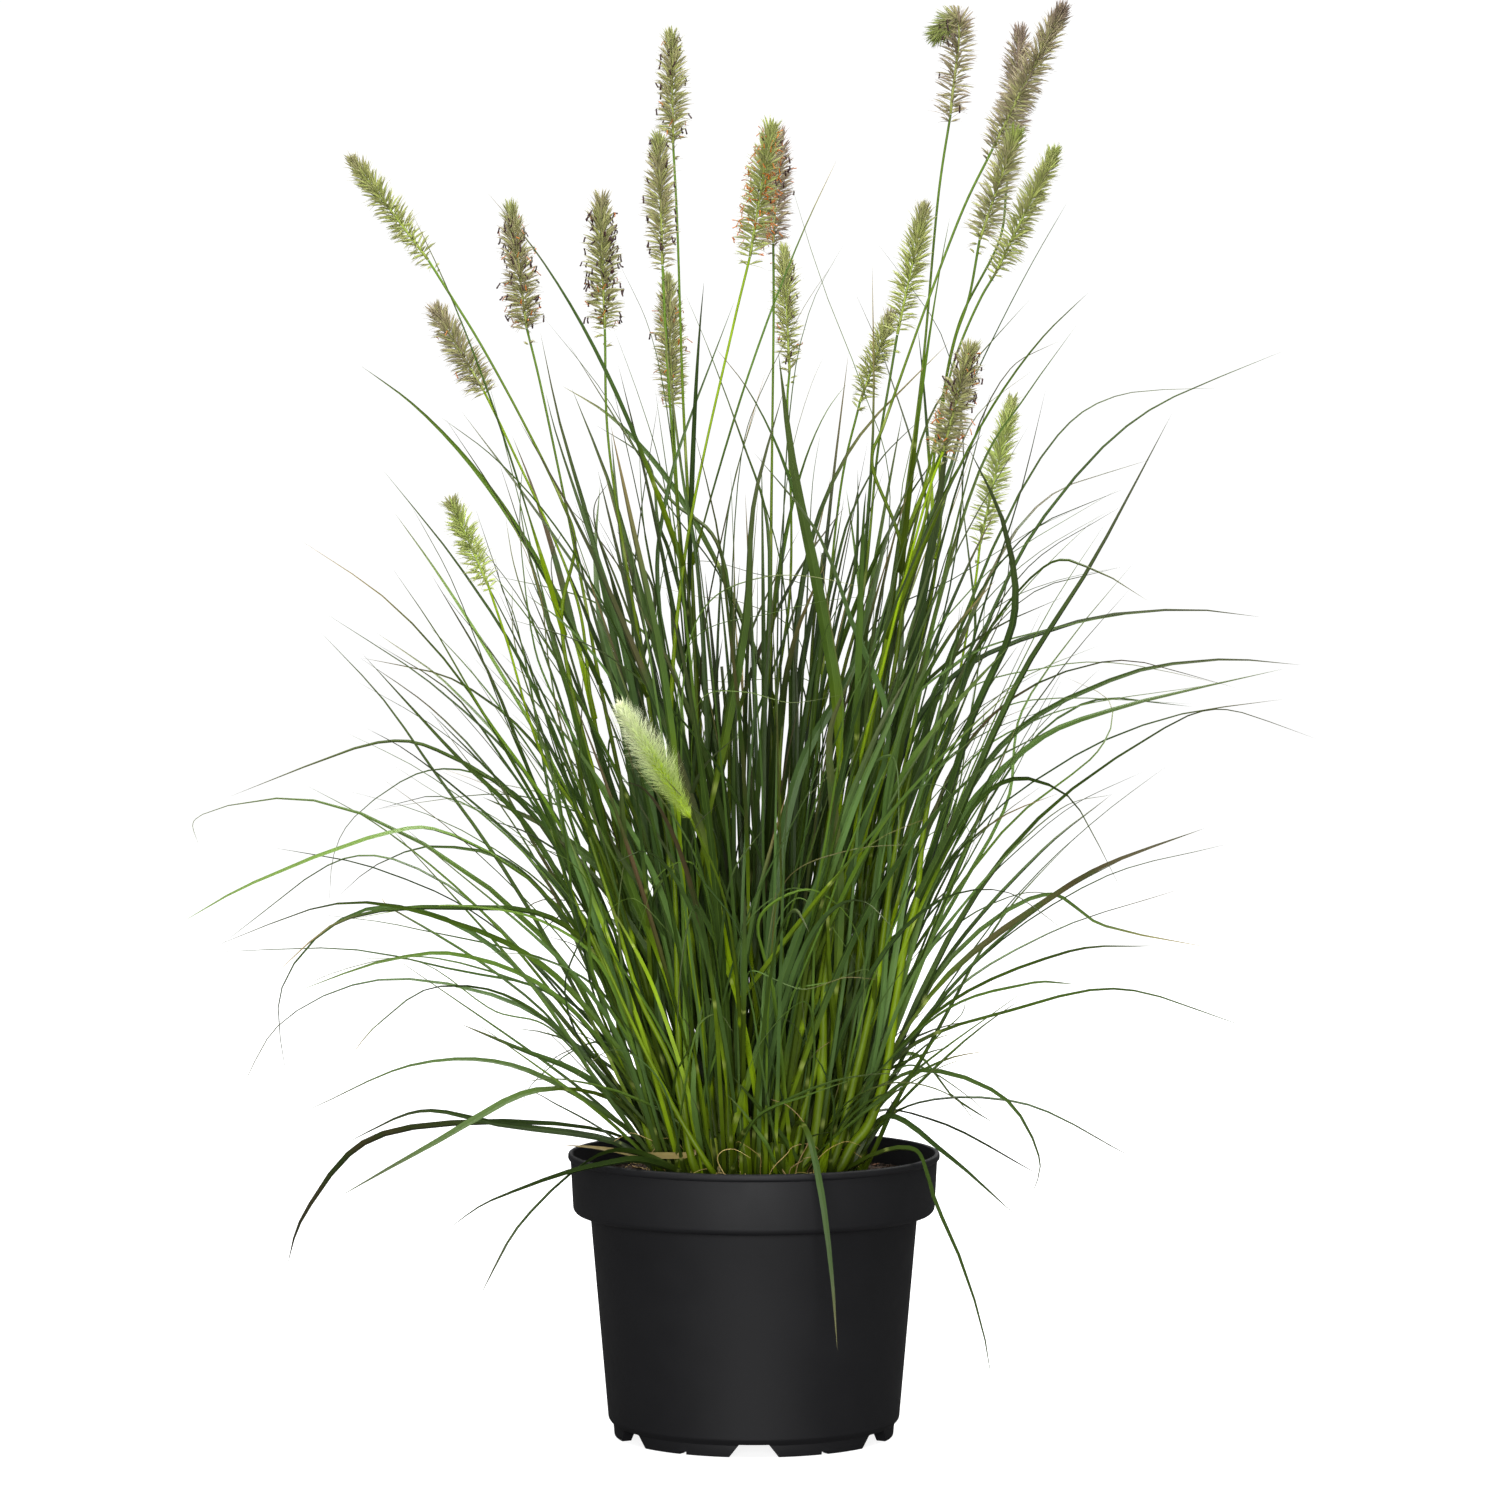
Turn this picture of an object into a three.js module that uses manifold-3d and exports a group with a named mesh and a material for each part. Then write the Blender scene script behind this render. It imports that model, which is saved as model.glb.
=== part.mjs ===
// A clump of fountain grass with bottle-brush flower spikes, growing in a round nursery pot.
// Millimetres, +Z up. The origin is on the pot's axis, at the level that its feet stand on.
// The leaves and stems are larger than life in section, so that each stays a sound solid.

import * as THREE from "three";
import { mergeVertices } from "three/addons/utils/BufferGeometryUtils.js";
import Module from "manifold-3d";

const wasm = await Module();
wasm.setup();

// Pot
const potHeight = 145;
const lipRadius = 95;
const lipDepth = 3;
const bandTopRadius = 93.7;
const bandBottomRadius = 92.3;
const bandBottom = 114;
const bodyTopRadius = 83.7;
const bodyBottomRadius = 74.5;
const bodyBottom = 9;
const footRadius = 71.4;
const footInnerRadius = 66;
const footFlare = 0.6;
const footStep = 6;
const floorDrop = 1;
const wall = 1.8;
const bandRound = 3;
const bandRoundDepth = 2.4;
const stepSlope = 4;
const lipRound = 0.9;
const lipInset = 0.5;
const potSides = 32;
const footCount = 6;
const notchTopWidth = 15;
const notchBottomWidth = 25;
const notchHeight = 6.5;
const notchReach = 30;
const notchBelow = 2;
const stepWidth = 4;
const stepHeight = 1.5;
const drainCount = 6;
const drainDiameter = 8;
const drainRing = 48;

// Soil and crown
const gap = 0.3;
const soilLevel = 132;
const soilRoughness = 1.6;
const soilBumpInset = 14;
const crownMargin = 12;
const crownRadius = 50;
const shootCount = 30;
const shootRadius = 7;
const shootTopRadius = 6.2;
const shootSunk = 12;
const shootRise = 9;
const shootSides = 6;
const leavesRound = 7;
const leafRing = 4.2;
const goldenAngle = Math.PI * (3 - Math.sqrt(5));

// Leaves
const sheathWidth = 2.8;
const sheathThickness = 2.4;
const leafThickness = 1.2;
const tipThickness = 0.7;
const sheathShare = 0.16;
const keelShare = 2 / 3;
const clearance = 0.45;
const shootClearance = 0.1;
const rootSunk = 3;
const tipHalfWidth = 0.15;
const taperStart = 2.2;
const taperPower = 0.75;

// Room that every leaf leaves beside the rim and above the soil
const rimInside = 9;
const rimOutside = 3.2;
const aboveRim = 2.2;
const soilInside = 7;
const aboveSoil = 2;

// Flowering stems
const stemRadius = 1.35;
const stemTopRadius = 0.9;
const stemSides = 5;
const stemSteps = 4;
const neckLength = 45;
const stemRootShare = 0.34;
const viaRootShare = 0.9;
const stemUpright = 0.16;

// Flower spikes
const spikeColumns = 8;
const spikeRowHeight = 5.4;
const spikeCore = 0.42;
const spikeletRise = 4.5;
const spikeFootShare = 0.12;
const spikeTipShare = 0.93;
const spikeSkew = 0.8;
const spikeFullness = 0.6;

// How the outline leaves spread in depth
const depthPower = 1.3;
const depthSteps = [0, 8, -8, 16, -16, 24, -24, 34, -34, 44, -44, 56, -56, 70, -70, 85, -85];
const placesTried = 14;
const fullReach = 190;
const reachPower = 0.8;

// Leaves grown by rule, in degrees and millimetres. A range is its least value and its spread.
const tries = 120;
const sideReach = 150;
const frontReach = 275;
const grownParts = 6;
const bendPower = 1.7;
const innerFan = 120;
const outerFan = 50;
const innerLean = 1;
const leanSpread = 7;
const archingFrom = 0.62;
const archingShare = 0.75;
const grownShortening = 0.35;
const grownWidth = [3.2, 1.8];
const archingLeaf = { lean: 26, bend: [35, 70], length: [250, 130], steps: 5 };
const uprightLeaf = { lean: 12, bend: [6, 22], length: [240, 190], steps: 4 };

// Leaves that leave a flowering stem, at shares of its length
const stemLeafShares = [0.22, 0.42];
const stemLeafFan = 200;
const stemLeafShortening = 0.4;
const stemLeaf = { lean: [8, 10], bend: [8, 40], length: [130, 120], width: [3, 1.5], steps: 4 };

// Each flower spike: the foot of its dense part, its tip, its width and its colour.
// The points are x, depth behind the pot's axis, and height.
const spikes = [
  { foot: [-163, -40, 598], tip: [-202, -55, 650], width: 15, colour: "green" },
  { foot: [-139, 35, 534], tip: [-166, 42, 579], width: 16, colour: "purple" },
  { foot: [-132, -70, 436], tip: [-151, -85, 481], width: 12, colour: "lime" },
  { foot: [-118, 65, 567], tip: [-127, 75, 632], width: 17, colour: "purple" },
  { foot: [-74, -65, 563], tip: [-76, -72, 630], width: 17, colour: "purple" },
  { foot: [-42, 75, 663], tip: [-43, 85, 724], width: 15, colour: "green" },
  { foot: [-46, -25, 596], tip: [-48, -28, 663], width: 14, colour: "green" },
  { foot: [-43, 120, 529], tip: [-46, 135, 599], width: 14, colour: "amber" },
  { foot: [-2, -80, 598], tip: [9, -95, 664], width: 17, colour: "amber", via: [-41, -60, 400] },
  { foot: [10, 45, 610], tip: [13, 50, 669], width: 14, colour: "purple" },
  { foot: [19, 130, 546], tip: [16, 150, 616], width: 12, colour: "green" },
  { foot: [100, 10, 674], tip: [92, 12, 713], width: 15, colour: "purple", top: [103, 11, 722] },
  { foot: [119, -50, 653], tip: [154, -65, 724], width: 16, colour: "purple" },
  { foot: [135, 90, 667], tip: [140, 100, 726], width: 14, colour: "purple" },
  { foot: [110, -110, 605], tip: [128, -125, 659], width: 16, colour: "green" },
  { foot: [124, 35, 594], tip: [157, 45, 661], width: 14, colour: "green" },
  { foot: [72, -30, 561], tip: [86, -35, 628], width: 15, colour: "green" },
  { foot: [56, 110, 529], tip: [74, 130, 579], width: 13, colour: "green" },
  { foot: [92, -120, 502], tip: [105, -135, 554], width: 18, colour: "amber" },
  { foot: [118, 70, 455], tip: [136, 85, 534], width: 14, colour: "lime" },
  { foot: [-31, -130, 324], tip: [-65, -150, 380], width: 12, colour: "lime" },
];

// The leaves that draw the clump's outline: depth at the tip, width, and the points that each
// passes after its root, as x and height, with a depth of its own where the leaf clears the rim.
const outlineLeaves = [
  [-60, 4.5, [58, 158, -24], [89, 154, -36], [104, 130, -44], [112, 88, -52], [120, 33]],
  [-40, 4, [-69, 150], [-129, 161], [-169, 169], [-208, 153]],
  [240, 3, [-116, 282], [-164, 295], [-203, 281], [-231, 257]],
  [-112, 5, [22, 168, -70], [27, 164, -88], [33, 138, -103], [38, 100, -107], [41, 60]],
  [-60, 4, [-111, 381], [-147, 442], [-187, 494]],
  [50, 3.5, [-124, 359], [-155, 436], [-178, 476]],
  [-110, 3.5, [-108, 327], [-132, 391], [-159, 442]],
  [20, 3, [-104, 321], [-160, 380], [-220, 420]],
  [-140, 3, [-98, 302], [-134, 347], [-159, 378]],
  [-90, 3.5, [-111, 307], [-151, 351], [-195, 402]],
  [120, 3, [-100, 334], [-151, 381], [-209, 394]],
  [170, 3, [-110, 323], [-159, 378], [-204, 406]],
  [60, 3.5, [-109, 312], [-162, 349], [-191, 353], [-274, 323]],
  [-30, 3.5, [-102, 249], [-180, 310], [-235, 327], [-283, 316], [-280, 304]],
  [-70, 5, [-98, 270], [-160, 311], [-186, 310], [-254, 285], [-285, 268]],
  [110, 3.5, [-115, 242], [-163, 281], [-211, 291], [-285, 240]],
  [-150, 3.5, [-101, 239], [-157, 272], [-202, 283], [-259, 266]],
  [120, 3.5, [-100, 221], [-156, 234], [-213, 242], [-291, 237]],
  [-190, 3.5, [-92, 261], [-153, 276], [-200, 274], [-229, 252]],
  [190, 3, [-133, 247], [-184, 266], [-223, 253], [-254, 213], [-253, 151]],
  [-120, 3.5, [-98, 225], [-147, 250], [-183, 250], [-224, 238]],
  [80, 3.5, [-103, 209], [-154, 228], [-203, 228], [-248, 204], [-273, 160]],
  [-220, 3, [-113, 222], [-156, 238], [-182, 225], [-191, 215]],
  [-80, 4, [-82, 183], [-120, 203], [-147, 218]],
  [40, 4, [-73, 162], [-126, 188], [-174, 187], [-237, 159]],
  [-100, 5, [-68, 171], [-109, 181], [-157, 159], [-206, 134]],
  [130, 3.5, [-74, 153], [-155, 155], [-205, 141], [-239, 98], [-250, 67]],
  [-130, 3.5, [-60, 150, -40], [-84, 152, -66], [-119, 137, -100], [-151, 119]],
  [-160, 3.5, [-58, 150, -48], [-78, 152, -72], [-114, 124, -115], [-133, 93]],
  [210, 3, [-116, 291], [-162, 319], [-210, 307]],
  [150, 3.5, [-131, 255], [-196, 283], [-259, 291]],
  [-40, 3, [-98, 346], [-126, 431], [-140, 475]],
  [80, 3, [-99, 375], [-123, 440], [-130, 470]],
  [20, 3.5, [-94, 376], [-119, 471], [-118, 498]],
  [-40, 3.5, [125, 430], [153, 478], [194, 520], [266, 553]],
  [90, 3, [111, 427], [156, 511], [186, 531], [246, 536]],
  [-90, 5, [109, 286], [136, 388], [171, 444], [213, 523]],
  [30, 3.5, [115, 493], [139, 531], [166, 568]],
  [-60, 3, [104, 488], [128, 543], [152, 557]],
  [140, 3, [91, 447], [113, 517], [149, 547]],
  [180, 3, [107, 405], [151, 475], [218, 500]],
  [-150, 3, [93, 387], [131, 458], [179, 484]],
  [60, 3.5, [90, 355], [139, 441], [192, 475]],
  [-180, 3, [104, 387], [145, 446], [168, 443], [188, 430]],
  [230, 3, [97, 364], [142, 424], [203, 441]],
  [10, 4.5, [90, 376], [159, 414], [219, 422], [260, 418]],
  [120, 3.5, [121, 345], [186, 385], [242, 394], [291, 390]],
  [-60, 4.5, [94, 300], [142, 356], [180, 373], [264, 394]],
  [-130, 3.5, [109, 357], [173, 398], [234, 387]],
  [-20, 4.5, [105, 264], [145, 316], [195, 354], [233, 372], [285, 357]],
  [170, 3.5, [106, 298], [162, 341], [219, 362], [287, 370]],
  [240, 3, [123, 322], [175, 368], [243, 363]],
  [-210, 3, [113, 328], [149, 337], [174, 293]],
  [-100, 4.5, [94, 232], [152, 280], [176, 297], [222, 317]],
  [60, 3.5, [105, 232], [178, 282], [248, 299]],
  [160, 3.5, [96, 235], [150, 291], [193, 319]],
  [130, 3.5, [95, 216], [155, 251], [231, 271]],
  [30, 3, [100, 243], [151, 276], [178, 260], [236, 247]],
  [-160, 3.5, [88, 217], [153, 255], [195, 264]],
  [-40, 4, [74, 195], [134, 220], [185, 231], [253, 211]],
  [-190, 3.5, [89, 217], [133, 241], [154, 248]],
  [70, 3.5, [75, 165], [136, 166], [203, 131]],
  [-110, 3, [77, 187], [124, 179], [142, 151], [135, 133]],
  [180, 3, [77, 190], [106, 161], [132, 138]],
  [120, 3.5, [62, 160, 40], [96, 152, 75], [154, 117]],
  [-80, 3.5, [66, 165], [97, 150, -55], [131, 122]],
  [-70, 5.5, [-69, 399], [-83, 466], [-97, 517], [-106, 562]],
  [30, 4, [-49, 448], [-41, 498], [-47, 596]],
  [90, 3.5, [-17, 451], [-45, 480], [-99, 562]],
  [-20, 3.5, [7, 463], [-5, 505], [-25, 559]],
  [60, 3.5, [-28, 375], [-12, 479], [7, 547]],
  [-60, 3.5, [54, 427], [60, 514], [59, 597]],
  [-90, 3.5, [104, 468], [96, 553], [59, 606]],
  [100, 3.5, [90, 447], [72, 539], [53, 589]],
  [20, 3.5, [69, 483], [54, 538], [34, 590], [16, 649]],
  [-40, 4.5, [23, 427], [47, 501], [100, 559]],
  [70, 3, [18, 519], [29, 576], [47, 611]],
  [-20, 3.5, [88, 517], [115, 552], [140, 580]],
  [-285, 3.5, [-20, 240, -120], [-28, 285, -190], [-34, 262, -255], [-36, 225]],
  [285, 3.5, [24, 250, 125], [34, 300, 195], [40, 280, 258], [42, 248]],
];

const colours = {
  pot: { color: 0x2c2d2f, roughness: 0.5 },
  soil: { color: 0x2a211b, roughness: 0.95 },
  foliage: { color: 0x4f7d3c, roughness: 0.6 },
  green: { color: 0x7c8a4c, roughness: 0.8 },
  purple: { color: 0x6c6153, roughness: 0.8 },
  amber: { color: 0x8a6a48, roughness: 0.8 },
  lime: { color: 0xa3bb62, roughness: 0.8 },
};

// A repeatable stream of numbers from 0 to 1.
function drawsFrom(seed) {
  let state = seed >>> 0;
  return () => {
    state = (state + 0x6d2b79f5) >>> 0;
    let t = state;
    t = Math.imul(t ^ (t >>> 15), t | 1);
    t ^= t + Math.imul(t ^ (t >>> 7), t | 61);
    return ((t ^ (t >>> 14)) >>> 0) / 4294967296;
  };
}

const vector = (x, y, z) => new THREE.Vector3(x, y, z);
const lerp = THREE.MathUtils.lerp;
const within = ([least, spread], draw) => least + draw() * spread;
const degrees = Math.PI / 180;

// A curve through a path's points, sampled at even steps.
function sampled(points, steps) {
  return new THREE.CatmullRomCurve3(points, false, "centripetal").getPoints(steps);
}

// The closest distance between segments p1 to q1 and p2 to q2, less the radius that each has there.
function segmentGap(p1, q1, r1, s1, p2, q2, r2, s2) {
  const ax = q1.x - p1.x;
  const ay = q1.y - p1.y;
  const az = q1.z - p1.z;
  const bx = q2.x - p2.x;
  const by = q2.y - p2.y;
  const bz = q2.z - p2.z;
  const cx = p1.x - p2.x;
  const cy = p1.y - p2.y;
  const cz = p1.z - p2.z;
  const a = ax * ax + ay * ay + az * az;
  const e = bx * bx + by * by + bz * bz;
  const f = bx * cx + by * cy + bz * cz;
  const c = ax * cx + ay * cy + az * cz;
  const b = ax * bx + ay * by + az * bz;
  const slant = a * e - b * b;
  const clamp = (value) => Math.min(1, Math.max(0, value));
  let s = slant > 1e-9 ? clamp((b * f - c * e) / slant) : 0;
  let t = (b * s + f) / e;
  if (t < 0 || t > 1) {
    t = clamp(t);
    s = clamp((b * t - c) / a);
  }
  const x = cx + ax * s - bx * t;
  const y = cy + ay * s - by * t;
  const z = cz + az * s - bz * t;
  return Math.sqrt(x * x + y * y + z * z) - lerp(r1, s1, s) - lerp(r2, s2, t);
}

// A strand is a path with a radius at each point, and the shoot that it belongs to. A flower
// spike is a piece of its own, which may meet nothing but the end of its own stem. A leaf that
// grows on a stem meets that stem.
const strands = [];
const grownOn = (a, b) =>
  a.shoot === b.shoot && (b.isFoot || ((a.isSpike || a.onStem) && b.isStem));

function boxOf(strand) {
  const box = new THREE.Box3().setFromPoints(strand.points);
  return box.expandByScalar(Math.max(...strand.radii) + clearance);
}

// Whether a strand is clear of the rim, of the soil and of every other strand.
function isClear(strand) {
  for (const point of strand.points.slice(1)) {
    const distance = Math.hypot(point.x, point.y);
    if (distance < lipRadius - soilInside && point.z < soilLevel + aboveSoil) return false;
  }
  for (let i = 0; i + 1 < strand.points.length; i++) {
    for (let k = 0; k <= 4; k++) {
      const x = lerp(strand.points[i].x, strand.points[i + 1].x, k / 4);
      const y = lerp(strand.points[i].y, strand.points[i + 1].y, k / 4);
      const z = lerp(strand.points[i].z, strand.points[i + 1].z, k / 4);
      const distance = Math.hypot(x, y);
      const besideRim = distance > lipRadius - rimInside && distance < lipRadius + rimOutside;
      if (besideRim && z < potHeight + aboveRim) return false;
    }
  }
  strand.box = boxOf(strand);
  for (const other of strands) {
    if (grownOn(strand, other)) continue;
    const joined = strand.shoot === other.shoot && !strand.isSpike && !other.isSpike;
    const room = joined ? shootClearance : clearance;
    if (!other.box.intersectsBox(strand.box)) continue;
    for (let i = 0; i + 1 < strand.points.length; i++) {
      for (let j = 0; j + 1 < other.points.length; j++) {
        const between = segmentGap(
          strand.points[i],
          strand.points[i + 1],
          strand.radii[i],
          strand.radii[i + 1],
          other.points[j],
          other.points[j + 1],
          other.radii[j],
          other.radii[j + 1],
        );
        if (between < room) return false;
      }
    }
  }
  return true;
}

// A leaf's half width along it: a narrow sheath, a blade that is widest low down, a fine tip.
function leafHalfWidth(share, width) {
  if (share >= 1) return tipHalfWidth;
  if (share < sheathShare) return lerp(sheathWidth, width, share / sheathShare) / 2;
  const along = (share - sheathShare) / (1 - sheathShare);
  return (width / 2) * Math.pow(1 - Math.pow(along, taperStart), taperPower);
}

function leafThicknessAt(share) {
  const thin = lerp(leafThickness, tipThickness, share);
  return lerp(sheathThickness, thin, Math.min(1, share / sheathShare));
}

function leafStrand(shoot, points, width, steps, onStem = false) {
  const path = sampled(points, steps);
  const reach = (share) => Math.max(leafHalfWidth(share, width), leafThicknessAt(share) * keelShare);
  const radii = path.map((_, i) => reach(i / steps));
  return { shoot, points: path, radii, width, onStem };
}

// The shoots stand in the crown as seeds do in a sunflower, each with a ring of places for leaves.
const shoots = [];
for (let i = 0; i < shootCount; i++) {
  const distance = crownRadius * Math.sqrt((i + 0.5) / shootCount);
  const angle = i * goldenAngle;
  const centre = vector(distance * Math.cos(angle), distance * Math.sin(angle), soilLevel);
  const places = [];
  for (let k = 0; k < leavesRound; k++) {
    const turn = angle + (k * 2 * Math.PI) / leavesRound;
    const x = centre.x + leafRing * Math.cos(turn);
    const y = centre.y + leafRing * Math.sin(turn);
    places.push({ at: vector(x, y, soilLevel + rootSunk), taken: false });
  }
  const shoot = { centre, places, stem: null, spike: null, leaves: [] };
  const foot = [centre.clone().setZ(soilLevel - shootSunk), centre.clone().setZ(soilLevel + 4)];
  const strand = { shoot, points: foot, radii: [shootRadius, shootTopRadius], isFoot: true };
  strand.box = boxOf(strand);
  strands.push(strand);
  shoots.push(shoot);
}

// Each flowering stem takes the free shoot that is nearest to its own line into the crown.
for (const spike of spikes) {
  const foot = vector(...spike.foot);
  const tip = vector(...spike.tip);
  const aim = vector(...(spike.via ?? spike.foot));
  aim.multiplyScalar(spike.via ? viaRootShare : stemRootShare);
  const distance = Math.hypot(aim.x, aim.y);
  if (distance > crownRadius) aim.multiplyScalar(crownRadius / distance);
  aim.z = soilLevel;
  const free = shoots.filter((shoot) => !shoot.stem);
  free.sort((a, b) => a.centre.distanceTo(aim) - b.centre.distanceTo(aim));
  const shoot = free[0];
  const root = shoot.centre.clone().setZ(soilLevel + rootSunk);
  const axis = (spike.top ? vector(...spike.top) : tip.clone()).sub(foot).normalize();
  const end = foot.clone().addScaledVector(axis, -gap);
  const neck = end.clone().addScaledVector(axis, -neckLength);
  const middle = spike.via ? vector(...spike.via) : root.clone().lerp(neck, 0.5);
  if (!spike.via) middle.lerp(vector(root.x, root.y, middle.z), stemUpright);
  const curve = [root, middle, neck, end];
  const path = sampled(curve, stemSteps);
  const radii = path.map((_, i) => lerp(stemRadius, stemTopRadius, i / stemSteps));
  shoot.stem = { shoot, points: path, radii, curve, isStem: true };
  const line = spike.top ? [foot, vector(...spike.top), tip] : [foot, tip];
  const half = spike.width / 2;
  const body = { shoot, points: line, radii: line.map(() => half), isSpike: true };
  shoot.spike = { ...spike, line };
  for (const strand of [shoot.stem, body]) {
    if (!isClear(strand)) throw new Error(`the flower spike at ${spike.foot} crosses another`);
    strands.push(strand);
  }
}

// An outline leaf roots at the free place nearest to its own direction. Where it would touch
// another shoot, its tip is moved nearer or farther until it is clear.
const lowestFirst = [...outlineLeaves].sort((a, b) => a[2][1] - b[2][1]);
for (const [depth, width, ...points] of lowestFirst) {
  const overRim = points.some((point) => point.length > 2);
  const steps = overRim ? points.length : points.length + 1;
  let placed = null;
  for (const shift of depthSteps) {
    if (shift && Math.abs(depth + shift) > frontReach) continue;
    const listed = points.map(([x, z, y], i) => {
      const share = Math.pow((i + 1) / points.length, depthPower);
      return vector(x, y ?? (depth + shift) * share, z);
    });
    const tip = listed[listed.length - 1];
    const reach = Math.hypot(tip.x, tip.y);
    const spread = Math.min(1, Math.pow(reach / fullReach, reachPower));
    const rootRadius = (crownRadius + leafRing) * spread;
    const aim = vector((tip.x * rootRadius) / reach, (tip.y * rootRadius) / reach, 0);
    const places = shoots.flatMap((shoot) =>
      shoot.places.filter((place) => !place.taken).map((place) => ({ shoot, place })),
    );
    const fromAim = ({ place }) => Math.hypot(place.at.x - aim.x, place.at.y - aim.y);
    places.sort((a, b) => fromAim(a) - fromAim(b));
    for (const { shoot, place } of places.slice(0, placesTried)) {
      const strand = leafStrand(shoot, [place.at, ...listed], width, steps);
      if (isClear(strand)) {
        placed = { strand, place };
        break;
      }
    }
    if (placed) break;
  }
  if (!placed) throw new Error(`the leaf through ${points[0]} finds no room`);
  placed.place.taken = true;
  placed.strand.shoot.leaves.push(placed.strand);
  strands.push(placed.strand);
}

// A leaf grown by rule: it leaves its root at a lean and bends over more and more towards its tip.
function grownPath(root, heading, lean, bend, length) {
  const points = [root];
  const at = root.clone();
  const step = length / grownParts;
  for (let i = 0; i < grownParts; i++) {
    const share = (i + 0.5) / grownParts;
    const angle = lean + bend * Math.pow(share, bendPower);
    at.x += Math.sin(angle) * Math.cos(heading) * step;
    at.y += Math.sin(angle) * Math.sin(heading) * step;
    at.z += Math.cos(angle) * step;
    points.push(at.clone());
  }
  return points;
}

// The rest of the places hold leaves grown by rule: upright in the middle, arching over in front
// and behind, and kept inside the outline leaves at the sides.
shoots.forEach((shoot, i) => {
  shoot.places.forEach((place, k) => {
    if (place.taken) return;
    const draw = drawsFrom(1000 * i + 10 * k + 7);
    const out = Math.hypot(place.at.x, place.at.y) / (crownRadius + leafRing);
    const away = Math.atan2(place.at.y, place.at.x);
    for (let n = 0; n < tries; n++) {
      const heading = away + (draw() - 0.5) * lerp(innerFan, outerFan, out) * degrees;
      const sideways = Math.abs(Math.cos(heading));
      const arching = out > archingFrom && sideways < archingFrom && draw() < archingShare;
      const kind = arching ? archingLeaf : uprightLeaf;
      const lean = (lerp(innerLean, kind.lean, out) + draw() * leanSpread) * degrees;
      const bend = within(kind.bend, draw) * degrees;
      const length = within(kind.length, draw) * (1 - grownShortening * (n / tries));
      const width = within(grownWidth, draw);
      const points = grownPath(place.at, heading, lean, bend, length);
      const tip = points[points.length - 1];
      const inside = Math.abs(tip.x) < sideReach && Math.abs(tip.y) < frontReach;
      const strand = leafStrand(shoot, points, width, kind.steps);
      if (inside && isClear(strand)) {
        place.taken = true;
        shoot.leaves.push(strand);
        strands.push(strand);
        return;
      }
    }
  });
});

// Leaves that leave a flowering stem part of the way up.
shoots.forEach((shoot, i) => {
  if (!shoot.stem) return;
  const curve = new THREE.CatmullRomCurve3(shoot.stem.curve, false, "centripetal");
  stemLeafShares.forEach((share, k) => {
    const draw = drawsFrom(5000 + 100 * i + k);
    const root = curve.getPoint(share);
    const tangent = curve.getTangent(share);
    const away = Math.atan2(root.y, root.x);
    for (let n = 0; n < tries; n++) {
      const heading = away + (draw() - 0.5) * stemLeafFan * degrees;
      const lean = Math.acos(tangent.z) + within(stemLeaf.lean, draw) * degrees;
      const bend = within(stemLeaf.bend, draw) * degrees;
      const length = within(stemLeaf.length, draw) * (1 - stemLeafShortening * (n / tries));
      const width = within(stemLeaf.width, draw);
      const path = grownPath(root, heading, lean, bend, length);
      const strand = leafStrand(shoot, path, width, stemLeaf.steps, true);
      if (isClear(strand)) {
        shoot.leaves.push(strand);
        strands.push(strand);
        return;
      }
    }
  });
});

// Turns a closed geometry into a solid, and a solid back into a geometry.
function solid(geometry) {
  const plain = geometry.clone();
  for (const name of ["normal", "uv"]) plain.deleteAttribute(name);
  const merged = mergeVertices(plain, 1e-4);
  return new wasm.Manifold(
    new wasm.Mesh({
      numProp: 3,
      vertProperties: new Float32Array(merged.attributes.position.array),
      triVerts: new Uint32Array(merged.index.array),
    }),
  );
}

// The largest piece of a solid, with any hollow that joining sealed inside it filled.
function wholePiece(body) {
  return body.decompose().reduce((a, b) => (b.volume() > a.volume() ? b : a));
}

function geometryOf(body) {
  const mesh = body.getMesh();
  const geometry = new THREE.BufferGeometry();
  geometry.setAttribute("position", new THREE.BufferAttribute(mesh.vertProperties, 3));
  geometry.setIndex(new THREE.BufferAttribute(mesh.triVerts, 1));
  return geometry;
}

// Bends a geometry that stands along Y, from -0.5 to 0.5, so that it runs along a path.
// place gets the vertex's x and z and its share of the way up, and gives the offsets from the
// path to the side and below.
function bentAlong(geometry, path, side, place) {
  const curve = new THREE.CatmullRomCurve3(path, false, "centripetal");
  const position = geometry.getAttribute("position");
  for (let i = 0; i < position.count; i++) {
    const share = Math.min(1, Math.max(0, position.getY(i) + 0.5));
    const centre = curve.getPoint(share);
    const forward = curve.getTangent(share);
    const above = forward.clone().cross(side).normalize();
    const across = above.clone().cross(forward).normalize();
    const [sideways, down] = place(position.getX(i), position.getZ(i), share);
    centre.addScaledVector(across, sideways);
    centre.addScaledVector(above, -down);
    position.setXYZ(i, centre.x, centre.y, centre.z);
  }
  return geometry;
}

// A leaf is a three-sided cone, bent along its path: two edges and a keel below.
const coneEdge = Math.sin(Math.PI / 3);
function leafSolid(strand) {
  const steps = strand.points.length - 1;
  const root = strand.points[0];
  const tip = strand.points[steps];
  const side = vector(root.y - tip.y, tip.x - root.x, 0).normalize();
  const cone = new THREE.ConeGeometry(1, 1, 3, steps);
  const shaped = bentAlong(cone, strand.points, side, (x, z, share) => {
    if (share >= 1) return [0, 0];
    const taper = 1 - share;
    const half = leafHalfWidth(share, strand.width);
    return [(x / taper / coneEdge) * half, (z / taper) * keelShare * leafThicknessAt(share)];
  });
  return solid(shaped);
}

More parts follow.
